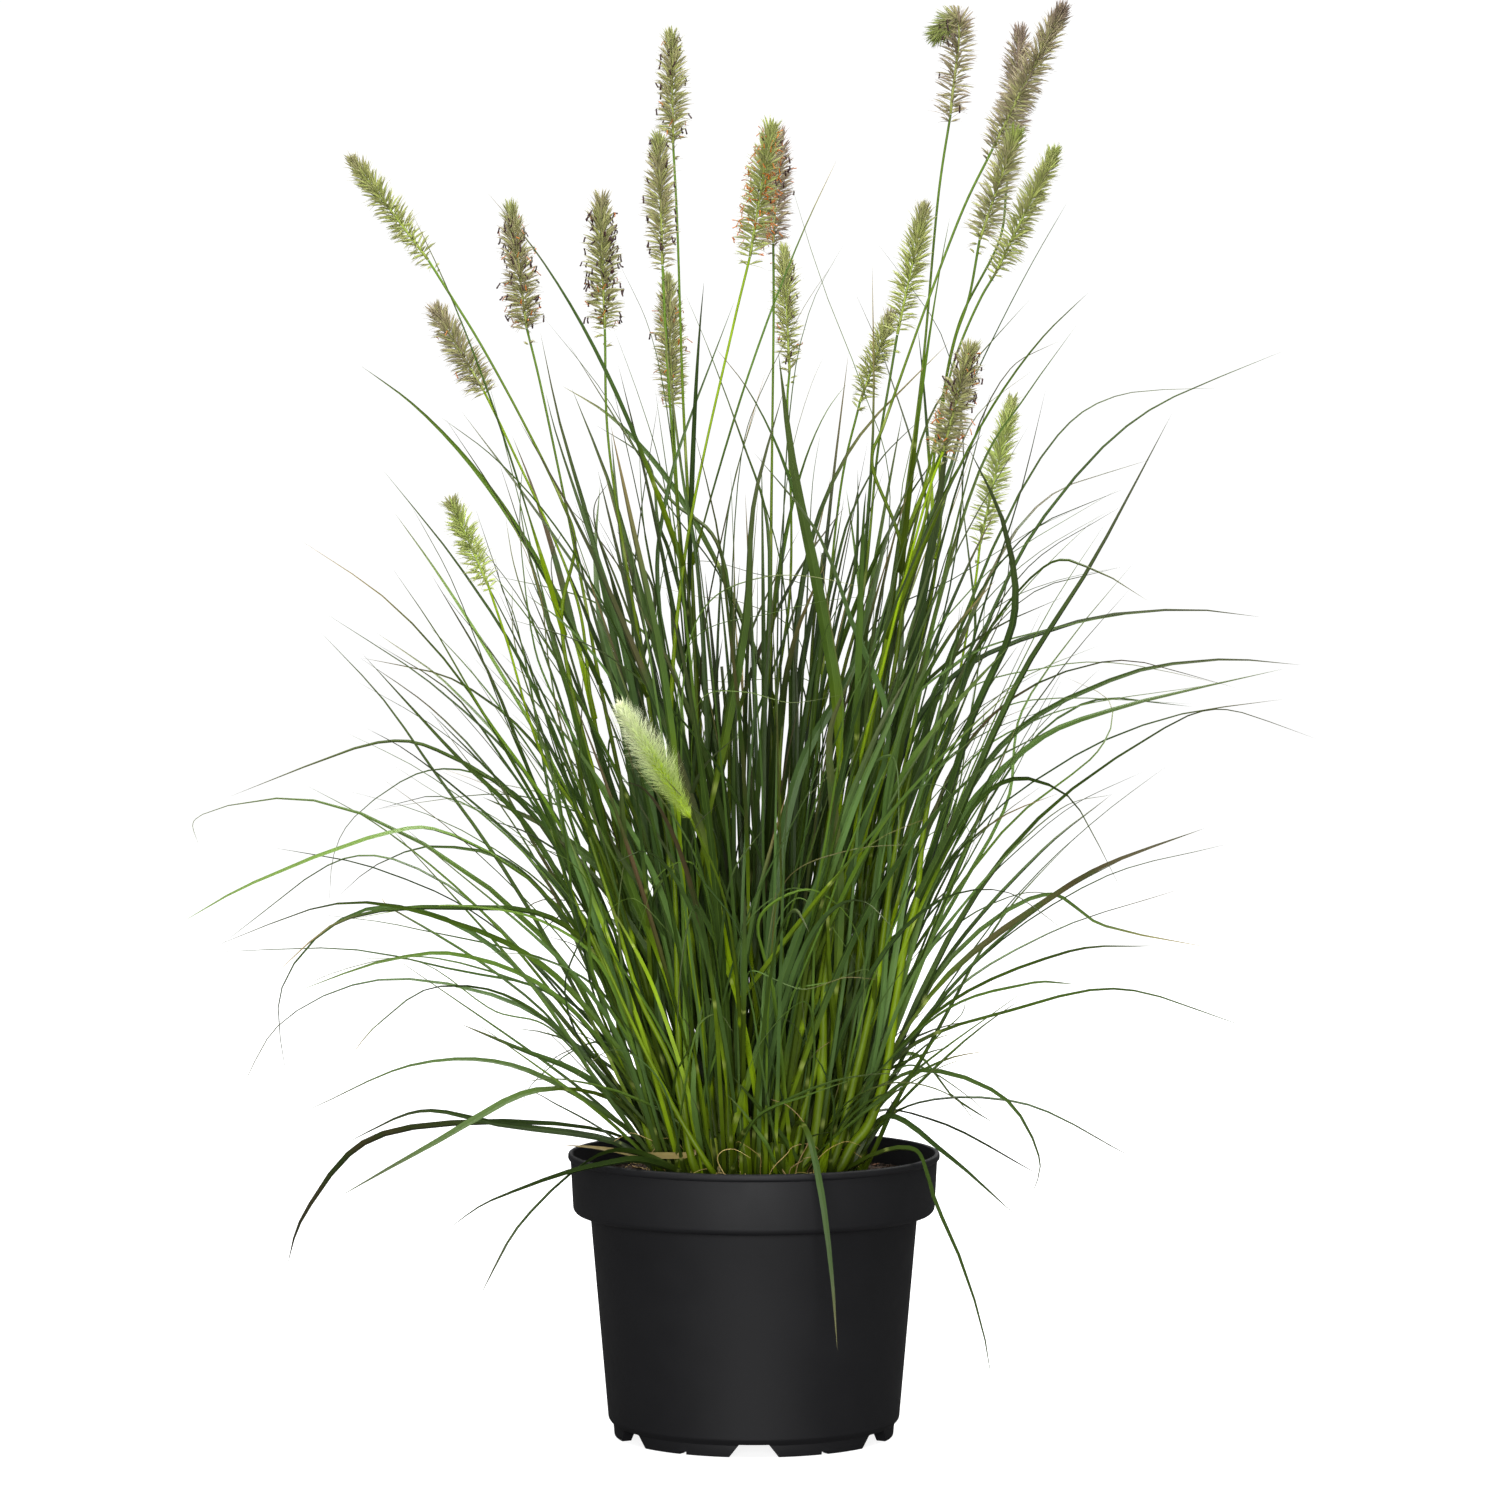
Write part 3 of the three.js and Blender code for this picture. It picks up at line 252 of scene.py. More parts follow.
# The leaves that show in front of the clump and at its sides: width, tone, how bluish, the share that is
# sheathed, depth, and the places that each is seen to pass, on the upright plane through the pot's middle.
FACING_LEAVES = (
    (7, 0.75, 1, 0.08, -45, (-42, 244), (-64, 391), (-72, 424), (-101, 513), (-106, 533)),
    (5.5, 0.35, 0.8, 0.08, -35, (-53, 254), (-68, 366), (-87, 440), (-99, 488)),
    (2.6, 0.45, 0.3, 0.05, -30, (-1, 366), (-6, 407), (-16, 437), (-47, 480), (-75, 530), (-108, 572)),
    (2.6, 0.3, 0.3, 0.05, -20, (-34, 407), (-36, 447), (-45, 529), (-54, 567), (-69, 599)),
    (2.2, 0.5, 0.2, 0.05, 10, (-35, 396), (-46, 488), (-58, 529), (-72, 567)),
    (5, 0.85, 0.9, 0.08, -55, (-42, 310), (-44, 376), (-49, 432), (-49, 452), (-46, 473), (-40, 498),
     (-9, 581)),
    (4.5, 0.6, 0.7, 0.06, -48, (-23, 346), (-29, 447), (-36, 488), (-48, 585)),
    (3.2, 0.15, 0.3, 0.06, -25, (-54, 325), (-61, 396), (-62, 427), (-58, 468), (-48, 531)),
    (2.6, 0.55, 0.3, 0.06, -15, (18, 386), (16, 427), (11, 457), (-22, 552), (-36, 585)),
    (3.4, 0.4, 0.6, 0.06, -30, (-17, 330), (-19, 376), (-16, 447), (-10, 488), (3, 530)),
    (3.2, 0.35, 0.6, 0.06, -50, (-38, 305), (-53, 381), (-61, 424), (-78, 463)),
    (7.2, 0.8, 1, 0.06, -60, (7, 223), (10, 274), (18, 323), (27, 350), (51, 394), (67, 457), (82, 493)),
    (5.2, 0.7, 0.7, 0.06, -30, (23, 346), (43, 450), (49, 470), (64, 498), (87, 521)),
    (2, 0.4, 0.3, 0.06, 5, (12, 407), (13, 447), (19, 501), (29, 536), (36, 552)),
    (2, 0.5, 0.3, 0.06, 15, (-11, 442), (-5, 508), (2, 529), (25, 575), (41, 599)),
    (3, 0.5, 0.4, 0.06, 0, (23, 346), (27, 427), (30, 488), (34, 513)),
    (5, 0.3, 0.2, 0.08, -20, (46, 290), (62, 417), (77, 478), (84, 493)),
    (3.6, 0.3, 0.4, 0.06, -5, (64, 346), (77, 452), (82, 468), (100, 498)),
    (4.5, 0.15, 0.3, 0.06, -10, (62, 264), (76, 361), (97, 447), (105, 468)),
    (4.6, 0.75, 0.8, 0.06, -45, (68, 223), (84, 325), (99, 391), (107, 427)),
    (2.5, 0.5, 0.3, 0.06, 0, (46, 381), (56, 407), (69, 422), (100, 437), (146, 465), (166, 474)),
    (5.2, 0.75, 0.9, 0.06, -55, (63, 203), (69, 305), (67, 348), (63, 355), (55, 352), (23, 323)),
    (6, 0.6, 0.2, 0.2, -35, (42, 228), (54, 376), (60, 427), (70, 468)),
    (4.6, 0.2, 0.6, 0.06, -42, (21, 244), (20, 305), (22, 366), (18, 447)),
    (3.6, 0.6, 0.3, 0.06, -30, (78, 239), (109, 361), (116, 407), (118, 432)),
    (4.6, 0.6, 0.3, 0.1, -15, (74, 213), (92, 259), (118, 325), (135, 366)),
    (2.8, 0.95, 1, 0.06, -65, (-6, 264), (-3, 325), (1, 386), (2, 447)),
    (6, 0.2, 0.6, 0.06, -15, (-11, 259), (-16, 325), (-19, 381), (-25, 442)),
    (4.5, 0.4, 0.6, 0.06, -25, (-6, 274), (-9, 346), (-10, 407), (-7, 447)),
    (4, 0.45, 0.5, 0.06, -35, (1, 259), (5, 325), (6, 386), (13, 457)),
    (4.2, 0.85, 0.7, 0.06, -55, (-45, 249), (-66, 306), (-106, 386), (-112, 404), (-119, 463), (-118, 493)),
    (3.6, 0.2, 0.3, 0.06, -20, (-91, 264), (-116, 394), (-123, 422), (-128, 432), (-132, 450)),
    (4.2, 0.95, 0.8, 0.06, -68, (-54, 178), (-67, 239), (-69, 269), (-65, 302)),
    (3.4, 0.8, 0.1, 0.7, -58, (-48, 173), (-58, 208), (-78, 264), (-96, 310)),
    (4, 0.9, 0.3, 0.1, -62, (-34, 173), (-38, 188), (-55, 221), (-101, 284), (-117, 300)),
    (1.8, 1, 0, 0.8, -66, (-33, 173), (-50, 226), (-58, 244), (-78, 279)),
    (3, 1, 0.2, 0.3, -60, (-33, 173), (-35, 193), (-35, 259), (-35, 284), (-31, 310)),
    (3.6, 0.95, 0.3, 0.1, -66, (-26, 173), (-18, 200), (-9, 244), (-2, 279)),
    (4, 0.9, 0.6, 0.1, -70, (-31, 175), (-25, 222), (-21, 223), (-16, 219)),
    (3.6, 1, 0.8, 0.1, -70, (3, 173), (4, 203), (6, 239), (12, 284)),
    (1.6, 0.9, 0.6, 0.06, -72, (-8, 244), (-5, 259), (1, 268), (16, 279), (23, 280), (55, 266), (64, 264)),
    (1.6, 0.7, 0.4, 0.06, -74, (8, 244), (14, 267), (23, 275), (36, 265), (59, 231)),
    (1.8, 0.8, 0.5, 0.06, -76, (13, 203), (16, 218), (21, 228), (39, 232), (54, 238), (59, 238), (69, 232)),
    (2.6, 0.6, 0.6, 0.05, 30, (-79, 278), (-116, 324), (-137, 337), (-154, 341), (-173, 338),
     (-205, 315), (-214, 298), (-217, 268)),
    (2, 0.6, 0.5, 0.05, 60, (-79, 311), (-99, 322), (-118, 327), (-137, 328), (-195, 320)),
    (1.6, 0.4, 0.4, 0.05, -30, (-99, 286), (-137, 319), (-155, 325), (-184, 343)),
    (2.6, 0.95, 0.2, 0.1, -90, (-79, 242), (-110, 264), (-137, 270), (-165, 271), (-211, 263)),
    (2, 0.5, 0.7, 0.05, 70, (-79, 228), (-176, 260), (-225, 267)),
    (1.6, 0.5, 0.5, 0.05, -20, (-105, 209), (-132, 217), (-170, 242), (-209, 244)),
    (2.2, 0.5, 0.6, 0.05, 40, (-88, 217), (-116, 231), (-171, 245), (-214, 237), (-233, 228)),
    (2.6, 0.95, 0.1, 0.1, -60, (-79, 165), (-143, 212)),
    (2.4, 0.5, 0.5, 0.05, 20, (-91, 179), (-184, 245)),
    (3.2, 0.3, 0.4, 0.05, -40, (-79, 179), (-110, 226), (-187, 313)),
    (3.8, 0.5, 0.8, 0.05, -70, (-79, 220), (-179, 312)),
    (2.4, 0.6, 0.6, 0.05, 50, (-110, 292), (-165, 371)),
    (2, 0.5, 0.5, 0.05, -50, (-88, 297), (-148, 398)),
    (2.2, 0.5, 0.6, 0.05, -40, (91, 335), (110, 359), (129, 373), (154, 377), (224, 374)),
    (2.6, 0.6, 0.5, 0.05, 50, (102, 335), (146, 367), (239, 385)),
    (3, 0.7, 0.7, 0.05, -60, (80, 373), (99, 392), (118, 403), (178, 418), (211, 422)),
    (2, 0.4, 0.4, 0.05, 20, (91, 373), (107, 406), (126, 425), (151, 436), (187, 444)),
    (2.2, 0.6, 0.3, 0.05, 70, (99, 373), (151, 393), (184, 395), (244, 383)),
    (2.2, 0.5, 0.6, 0.05, -80, (85, 398), (104, 425), (126, 447), (188, 485)),
    (2, 0.4, 0.5, 0.05, 40, (99, 398), (121, 430), (146, 452), (184, 474)),
    (2.6, 0.6, 0.5, 0.05, -30, (91, 280), (140, 356), (176, 392)),
    (2.2, 0.3, 0.5, 0.05, 30, (80, 252), (104, 285), (157, 387)),
    (3, 0.4, 0.7, 0.05, -70, (85, 241), (157, 321), (183, 328)),
    (5.5, 0.95, 0.1, 0.3, -30, (22, 290), (28, 347), (33, 390), (38, 430), (46, 480)),
    (2.4, 0.5, 0.5, 0.05, 20, (91, 250), (135, 277), (154, 276), (170, 265)),
    (2, 0.5, 0.5, 0.05, -20, (77, 189), (110, 173), (124, 159)),
)

# The stout culms that show in front of the clump: radius at the foot, brightness, depth, and the places
# that each is seen to pass.
CULMS = (
    (3.1, 1.0, -34, (43, 136), (50, 148), (58, 158), (67, 184), (72, 220), (78, 256), (83, 274), (86, 306),
     (94, 353)),
    (2.6, 0.7, -44, (38, 136), (43, 148), (50, 177), (56, 202), (63, 235), (67, 264), (72, 300), (82, 350)),
    (3.6, 0.75, -52, (22, 134), (30, 148), (33, 166), (35, 190), (36, 230), (40, 262)),
    (2.3, 1.0, -50, (-30, 136), (-37, 180), (-39, 223), (-40, 274), (-42, 305), (-47, 345)),
    (2.2, 0.75, -56, (-12, 136), (-13, 195), (-15, 232), (-16, 251), (-17, 274), (-24, 330)),
    (2.3, 1.0, -48, (2, 136), (5, 190), (8, 253), (13, 296), (13, 342), (17, 390)),
    (1.7, 1.0, -62, (-22, 136), (-40, 166), (-58, 202), (-67, 222), (-82, 256)),
    (2.0, 0.9, -50, (-30, 138), (-42, 189), (-58, 223), (-71, 266), (-84, 306)),
    (2.2, 0.8, -42, (-36, 138), (-49, 180), (-64, 213), (-78, 244), (-92, 275), (-104, 310)),
    (2.0, 0.9, -54, (18, 136), (26, 168), (34, 199), (38, 244), (45, 280), (52, 308), (60, 350)),
    (2.4, 0.6, -46, (-4, 136), (-8, 170), (-6, 210), (-9, 250)),
    (1.9, 0.95, -38, (-14, 136), (-22, 250), (-28, 347), (-31, 410), (-36, 450)),
)

# Outline leaves that the photograph shows at other places than their solids, by the ends of their solids:
# the places on the upright middle plane, each with its depth.
SEEN_LEAVES = {
    (120, 33): ((62, 144, -36), (74, 147, -42), (83.5, 145, -47), (88.6, 133, -55), (92.6, 119, -57),
                (103, 96, -58), (113, 68, -60), (119, 45, -60), (122, 26, -60)),
    (-151, 119): ((-50, 139, -60), (-62, 141, -74), (-69, 140, -80), (-93, 135, -92), (-119, 126, -105),
                  (-140, 117, -116), (-158, 104, -126)),
    (213, 523): ((78, 262, -30), (100, 308, -45), (136, 388, -62), (171, 444, -76), (213, 523, -90)),
}

# Thin leaves that arch over in front of the clump: width, tone, and the points from root to tip.
ARCHING_LEAVES = (
    (2.2, 0.7, (20, -48, 136), (10, -78, 232), (3, -96, 273), (27, -104, 287), (44, -108, 277),
     (53, -110, 258), (54, -110, 232), (49, -108, 190)),
    (2.0, 0.8, (6, -50, 136), (8, -80, 240), (16, -104, 292), (46, -116, 307), (88, -124, 311)),
    (2.0, 0.9, (-30, -40, 136), (-36, -70, 300), (-32, -84, 408), (-20, -92, 430), (3, -100, 440),
     (25, -106, 441), (60, -112, 434)),
    (1.6, 0.6, (-26, -44, 136), (-34, -70, 290), (-31, -86, 408), (10, -96, 423), (36, -102, 429),
     (66, -108, 432)),
    (1.8, 0.7, (-20, -46, 136), (-28, -76, 280), (-26, -92, 380), (-5, -102, 384), (18, -108, 379),
     (47, -114, 384)),
    (3.2, 0.4, (30, -46, 136), (46, -70, 250), (57, -88, 345), (68, -98, 352), (71, -104, 316),
     (66, -106, 280)),
    (2.6, 0.9, (-40, -34, 136), (-36, -60, 176), (-26, -74, 219), (-17, -80, 223), (-10, -84, 214)),
    (2.8, 0.8, (-14, -58, 136), (2, -78, 172), (26, -92, 184), (50, -104, 194)),
    (1.6, 0.5, (14, -52, 136), (0, -84, 222), (-2, -98, 246), (24, -106, 238), (45, -108, 244),
     (62, -110, 243)),
    (2.0, 0.3, (38, -44, 136), (42, -72, 174), (70, -88, 190), (98, -98, 184), (112, -104, 168)),
    (1.4, 0.5, (-46, -20, 136), (-62, -56, 230), (-74, -82, 270), (-60, -96, 282), (-38, -106, 262)),
    (1.8, 0.6, (-10, -54, 136), (-18, -86, 250), (-30, -108, 300), (-46, -124, 296), (-58, -134, 262)),
    (2.4, 0.5, (36, -40, 136), (58, -70, 260), (72, -92, 330), (92, -108, 338), (110, -118, 306)),
    (1.6, 0.4, (22, -50, 136), (30, -84, 210), (24, -106, 232), (4, -118, 214), (-8, -122, 186)),
    (1.4, 0.7, (-34, -40, 136), (-48, -66, 190), (-70, -84, 206), (-92, -94, 190)),
)


# Sizes and colours


def length(name, description, default):
    return FloatProperty(name=name, description=description, default=default, min=0, unit="LENGTH")


def colour(name, description, default):
    return FloatVectorProperty(name=name, description=description, default=default, size=3,
                               min=0, max=1, subtype="COLOR")


class PotSizes(bpy.types.PropertyGroup):
    """Sizes of the nursery pot."""
    height: length("Height", "From the floor to the top of the lip", 0.145)
    lip_radius: length("Lip radius", "Outside radius of the lip", 0.095)
    lip_depth: length("Lip depth", "Height of the lip's bead", 0.003)
    band_top_radius: length("Band top radius", "Outside radius of the band under the lip", 0.0937)
    band_bottom_radius: length("Band bottom radius", "Outside radius at the band's lower edge", 0.0923)
    band_bottom: length("Band level", "Height of the band's lower edge", 0.114)
    body_top_radius: length("Body top radius", "Outside radius of the wall just under the band", 0.0837)
    body_bottom_radius: length("Body bottom radius", "Outside radius at the foot of the wall", 0.0745)
    body_bottom: length("Body level", "Height at which the wall meets the foot ring", 0.009)
    foot_radius: length("Foot radius", "Outside radius of the foot ring", 0.0714)
    foot_inner_radius: length("Foot inner radius", "Inside radius of the foot ring", 0.066)
    wall: length("Wall", "Thickness of the moulding", 0.0018)
    sides: IntProperty(name="Sides", description="Faces round the pot", default=144, min=24)


class SoilSizes(bpy.types.PropertyGroup):
    """Sizes and numbers of what lies in the pot."""
    level: length("Level", "Height of the soil", 0.132)
    roughness: length("Roughness", "Height of the soil's bumps", 0.0022)
    crumbs: IntProperty(name="Crumbs", description="Loose crumbs of peat", default=900, min=0)
    chips: IntProperty(name="Bark chips", description="Chips of bark", default=110, min=0)
    roots: IntProperty(name="Fibres", description="Curled dry fibres round the crown", default=90, min=0)


class LeafSizes(bpy.types.PropertyGroup):
    """Sizes of the blades and stems."""
    thickness: length("Blade thickness", "Thickness of a blade between its veins", 0.00035)
    keel: length("Keel", "Depth of the rib under a blade", 0.0004)
    fold: FloatProperty(name="Fold", description="Rise of a blade's edges as a share of its half width",
                        default=0.3, min=0, max=1, subtype="FACTOR")
    sheath_radius: length("Sheath radius", "Radius of a leaf's sheath at the soil", 0.0016)
    stem_radius: length("Stem radius", "Radius of a flowering stem at the soil, with its sheaths", 0.0021)
    stem_top_radius: length("Stem top radius", "Radius of a flowering stem under its spike", 0.00065)
    more_leaves: IntProperty(name="Finer leaves", description="Finer leaves added to each shoot",
                             default=3, min=0)


class SpikeSizes(bpy.types.PropertyGroup):
    """Sizes of the flower spikes."""
    spikelet_radius: length("Spikelet radius", "Half of a spikelet's width", 0.00056)
    spacing: length("Spikelet spacing", "Rise of the spike for each spikelet", 0.0003)
    bristle: length("Bristle length", "Length of the bristles past a spikelet", 0.0022)
    bristle_radius: length("Bristle radius", "Half of a bristle's width", 0.00014)
    anther: length("Anther length", "Length of one anther", 0.0037)
    anther_radius: length("Anther radius", "Half of an anther's width", 0.00048)
    silk: length("Silk length", "Length of the hairs on the young spike", 0.0135)


class PlantColours(bpy.types.PropertyGroup):
    """Colours of the whole."""
    pot: colour("Pot", "Moulded plastic", (0.0078, 0.0078, 0.0089))
    soil: colour("Soil", "Moist peat", (0.022, 0.013, 0.008))
    bark: colour("Bark", "Bark chips", (0.11, 0.05, 0.025))
    straw: colour("Straw", "Dry leaves and fibres", (0.56, 0.38, 0.16))
    blade_dark: colour("Blade, dark", "The darker blades", (0.021, 0.042, 0.003))
    blade_light: colour("Blade, light", "The lighter blades", (0.13, 0.235, 0.018))
    bluish_dark: colour("Bluish blade, dark", "The darker bluish blades", (0.026, 0.052, 0.016))
    bluish_light: colour("Bluish blade, light", "The lighter bluish blades", (0.11, 0.205, 0.058))
    rusty: colour("Rusty blade", "Patches along an ageing blade", (0.1, 0.05, 0.03))
    midrib: colour("Midrib", "The line along a blade's middle", (0.13, 0.22, 0.035))
    blade_tip: colour("Blade tip", "The worn end of a blade", (0.1, 0.095, 0.055))
    sheath: colour("Sheath", "The brightest sheaths and stems", (0.26, 0.4, 0.005))
    sheath_dark: colour("Sheath, dark", "The darkest sheaths", (0.045, 0.075, 0.005))
    joint: colour("Joint", "Rings where a sheath ends", (0.42, 0.5, 0.12))
    spike_green: colour("Spike, green", "Green spikelets", (0.37, 0.43, 0.11))
    spike_lime: colour("Spike, lime", "Young spikelets", (0.44, 0.53, 0.14))
    spike_brown: colour("Spike, brown", "Ripe spikelets", (0.34, 0.29, 0.17))
    spike_fringe: colour("Bristles", "Bristles and the tips of ripe spikelets", (0.27, 0.19, 0.17))
    spike_cap: colour("Dark cap", "The end of a ripe spike", (0.15, 0.1, 0.085))
    spike_fresh: colour("Green cap", "The end of a fresh spike", (0.17, 0.25, 0.02))
    anther_dark: colour("Anthers, dark", "Fresh anthers", (0.045, 0.016, 0.015))
    anther_rust: colour("Anthers, rust", "Spent anthers", (0.52, 0.15, 0.015))
    silk: colour("Silk", "Hairs of the young spike", (0.86, 0.9, 0.62))


# Curves and growth


def draws_from(seed):
    """A repeatable stream of numbers from 0 to 1."""
    mask = 0xFFFFFFFF
    state = [seed & mask]

    def draw():
        state[0] = (state[0] + 0x6D2B79F5) & mask
        t = state[0]
        t = ((t ^ (t >> 15)) * (t | 1)) & mask
        t ^= (t + (((t ^ (t >> 7)) * (t | 61)) & mask)) & mask
        return ((t ^ (t >> 14)) & mask) / 4294967296

    return draw


def lerp(a, b, share):
    """The value at a share of the way from a to b."""
    return a + (b - a) * share


def unit(vectors):
    """The vectors at a length of 1."""
    return vectors / np.maximum(np.linalg.norm(vectors, axis=-1, keepdims=True), 1e-12)


def along(points, shares):
    """Points on a smooth line through the given points, at shares of its way."""
    points = np.asarray(points, float)
    p = np.vstack((2 * points[0] - points[1], points, 2 * points[-1] - points[-2]))
    at = np.clip(np.asarray(shares, float), 0, 1) * (len(points) - 1)
    i = np.minimum(at.astype(int), len(points) - 2)
    w = (at - i)[:, None]
    a, b, c, d = p[i], p[i + 1], p[i + 2], p[i + 3]
    t0, t1, t2 = (((q - r) ** 2).sum(1, keepdims=True) ** 0.25 for q, r in ((a, b), (b, c), (c, d)))
    start = ((b - a) / t0 - (c - a) / (t0 + t1) + (c - b) / t1) * t1
    end = ((c - b) / t1 - (d - b) / (t1 + t2) + (d - c) / t2) * t1
    return b + start * w + (3 * (c - b) - 2 * start - end) * w**2 + (2 * (b - c) + start + end) * w**3


def heading_along(points, shares):
    """The direction of that line at the same shares."""
    shares = np.asarray(shares, float)
    near = along(points, np.maximum(shares - 1e-4, 0))
    far = along(points, np.minimum(shares + 1e-4, 1))
    return unit(far - near)


def leaf_half_width(share, width):
    """Half the width of a leaf's solid at a share of its length."""
    if share >= 1:
        return 0.15
    if share < SHEATH_SHARE:
        return lerp(SHEATH_WIDTH, width, share / SHEATH_SHARE) / 2
    way = (share - SHEATH_SHARE) / (1 - SHEATH_SHARE)
    return (width / 2) * (1 - way**2.2) ** 0.75


def leaf_thickness(share):
    """The thickness of a leaf's solid at a share of its length."""
    thin = lerp(LEAF_THICKNESS, TIP_THICKNESS, share)
    return lerp(SHEATH_THICKNESS, thin, min(1, share / SHEATH_SHARE))


class Strand:
    """A path with a radius at each point, the shoot that it belongs to and its own curve and width."""

    def __init__(self, shoot, points, radii, kind, curve=None, width=0):
        self.shoot = shoot
        self.points = np.asarray(points, float)
        self.radii = np.asarray(radii, float)
        self.kind = kind
        self.curve = curve
        self.width = width


class Clump:
    """The strands grown so far, with the test that a new one is clear of them."""

    def __init__(self):
        room = 3000
        self.count = 0
        self.start = np.zeros((room, 3))
        self.end = np.zeros((room, 3))
        self.radius = np.zeros((room, 2))
        self.shoot = np.zeros(room, int)
        self.kind = np.zeros(room, "U8")

    def add(self, strand):
        size = len(strand.points) - 1
        new = slice(self.count, self.count + size)
        self.start[new] = strand.points[:-1]
        self.end[new] = strand.points[1:]
        self.radius[new, 0] = strand.radii[:-1]
        self.radius[new, 1] = strand.radii[1:]
        self.shoot[new] = strand.shoot
        self.kind[new] = strand.kind
        self.count += size

    def is_clear(self, strand):
        """Whether a strand keeps its clearance from the pot and from every strand grown so far."""
        if not clear_of_pot(strand.points):
            return False
        size = self.count
        reach = strand.radii.max() + CLEARANCE
        low, high = strand.points.min(0) - reach, strand.points.max(0) + reach
        start, end, radius = self.start[:size], self.end[:size], self.radius[:size]
        wide = radius.max(1)[:, None]
        near = ((np.maximum(start, end) + wide >= low) & (np.minimum(start, end) - wide <= high)).all(1)
        same = self.shoot[:size] == strand.shoot
        kind = self.kind[:size]
        grown_on = kind == "foot"
        if strand.kind in ("spike", "onstem"):
            grown_on = grown_on | (kind == "stem")
        near &= ~(same & grown_on)
        if not near.any():
            return True
        joined = same[near] & (kind[near] != "spike") & (strand.kind != "spike")
        room = np.where(joined, SHOOT_CLEARANCE, CLEARANCE)
        p1, q1 = strand.points[:-1, None], strand.points[1:, None]
        r1, s1 = strand.radii[:-1, None], strand.radii[1:, None]
        p2, q2 = start[near][None], end[near][None]
        r2, s2 = radius[near, 0][None], radius[near, 1][None]
        da, db, dc = q1 - p1, q2 - p2, p1 - p2
        a, e, f = (da * da).sum(2), (db * db).sum(2), (db * dc).sum(2)
        c, b = (da * dc).sum(2), (da * db).sum(2)
        slant = a * e - b * b
        s = np.where(slant > 1e-9, np.clip((b * f - c * e) / np.where(slant > 1e-9, slant, 1), 0, 1), 0)
        t = (b * s + f) / e
        off = (t < 0) | (t > 1)
        t = np.where(off, np.clip(t, 0, 1), t)
        s = np.where(off, np.clip((b * t - c) / a, 0, 1), s)
        apart = np.linalg.norm(dc + da * s[..., None] - db * t[..., None], axis=2)
        gap = apart - lerp(r1, s1, s) - lerp(r2, s2, t)
        return not (gap < room[None]).any()


def clear_of_pot(points):
    """Whether a path stays above the soil inside the pot and above the rim beside it."""
    distance = np.hypot(points[1:, 0], points[1:, 1])
    if ((distance < LIP_RADIUS - 7) & (points[1:, 2] < SOIL_LEVEL + 2)).any():
        return False
    way = (np.arange(5) / 4)[:, None, None]
    between = points[None, :-1] * (1 - way) + points[None, 1:] * way
    distance = np.hypot(between[..., 0], between[..., 1])
    beside = (distance > LIP_RADIUS - 9) & (distance < LIP_RADIUS + 3.2)
    return not (beside & (between[..., 2] < POT_HEIGHT + 2.2)).any()


def leaf_strand(shoot, curve, width, steps, kind="leaf"):
    """The leaf's solid as the clearance test takes it."""
    shares = np.arange(steps + 1) / steps
    radii = [max(leaf_half_width(s, width), leaf_thickness(s) * 2 / 3) for s in shares]
    return Strand(shoot, along(curve, shares), radii, kind, np.asarray(curve, float), width)


def grown_path(root, heading, lean, bend, reach):
    """A leaf that leaves its root at a lean and bends over more and more towards its tip."""
    parts = 6
    angles = lean + bend * ((np.arange(parts) + 0.5) / parts) ** BENDING
    out = np.sin(angles)
    steps = np.stack((out * math.cos(heading), out * math.sin(heading), np.cos(angles)), 1)
    return np.vstack((root, root + np.cumsum(steps * reach / parts, axis=0)))


class Shoot:
    """One shoot of the crown, with the places for leaves round it, its leaves, its stem and its spike."""

    def __init__(self, number):
        self.number = number
        distance = CROWN_RADIUS * math.sqrt((number + 0.5) / SHOOT_COUNT)
        angle = number * GOLDEN_ANGLE
        self.centre = np.array((distance * math.cos(angle), distance * math.sin(angle), SOIL_LEVEL))
        turns = angle + np.arange(LEAVES_ROUND) * 2 * math.pi / LEAVES_ROUND
        self.places = [self.centre + (LEAF_RING * math.cos(t), LEAF_RING * math.sin(t), ROOT_SUNK)
                       for t in turns]
        self.taken = [False] * LEAVES_ROUND
        self.leaves = []
        self.stem = None
        self.spike = None
        self.spike_number = None

    def take(self, clump, strand, place=None):
        """Grows a leaf if it is clear of the rest, and says whether it did."""
        if not clump.is_clear(strand):
            return False
        if place is not None:
            self.taken[place] = True
        self.leaves.append(strand)
        clump.add(strand)
        return True


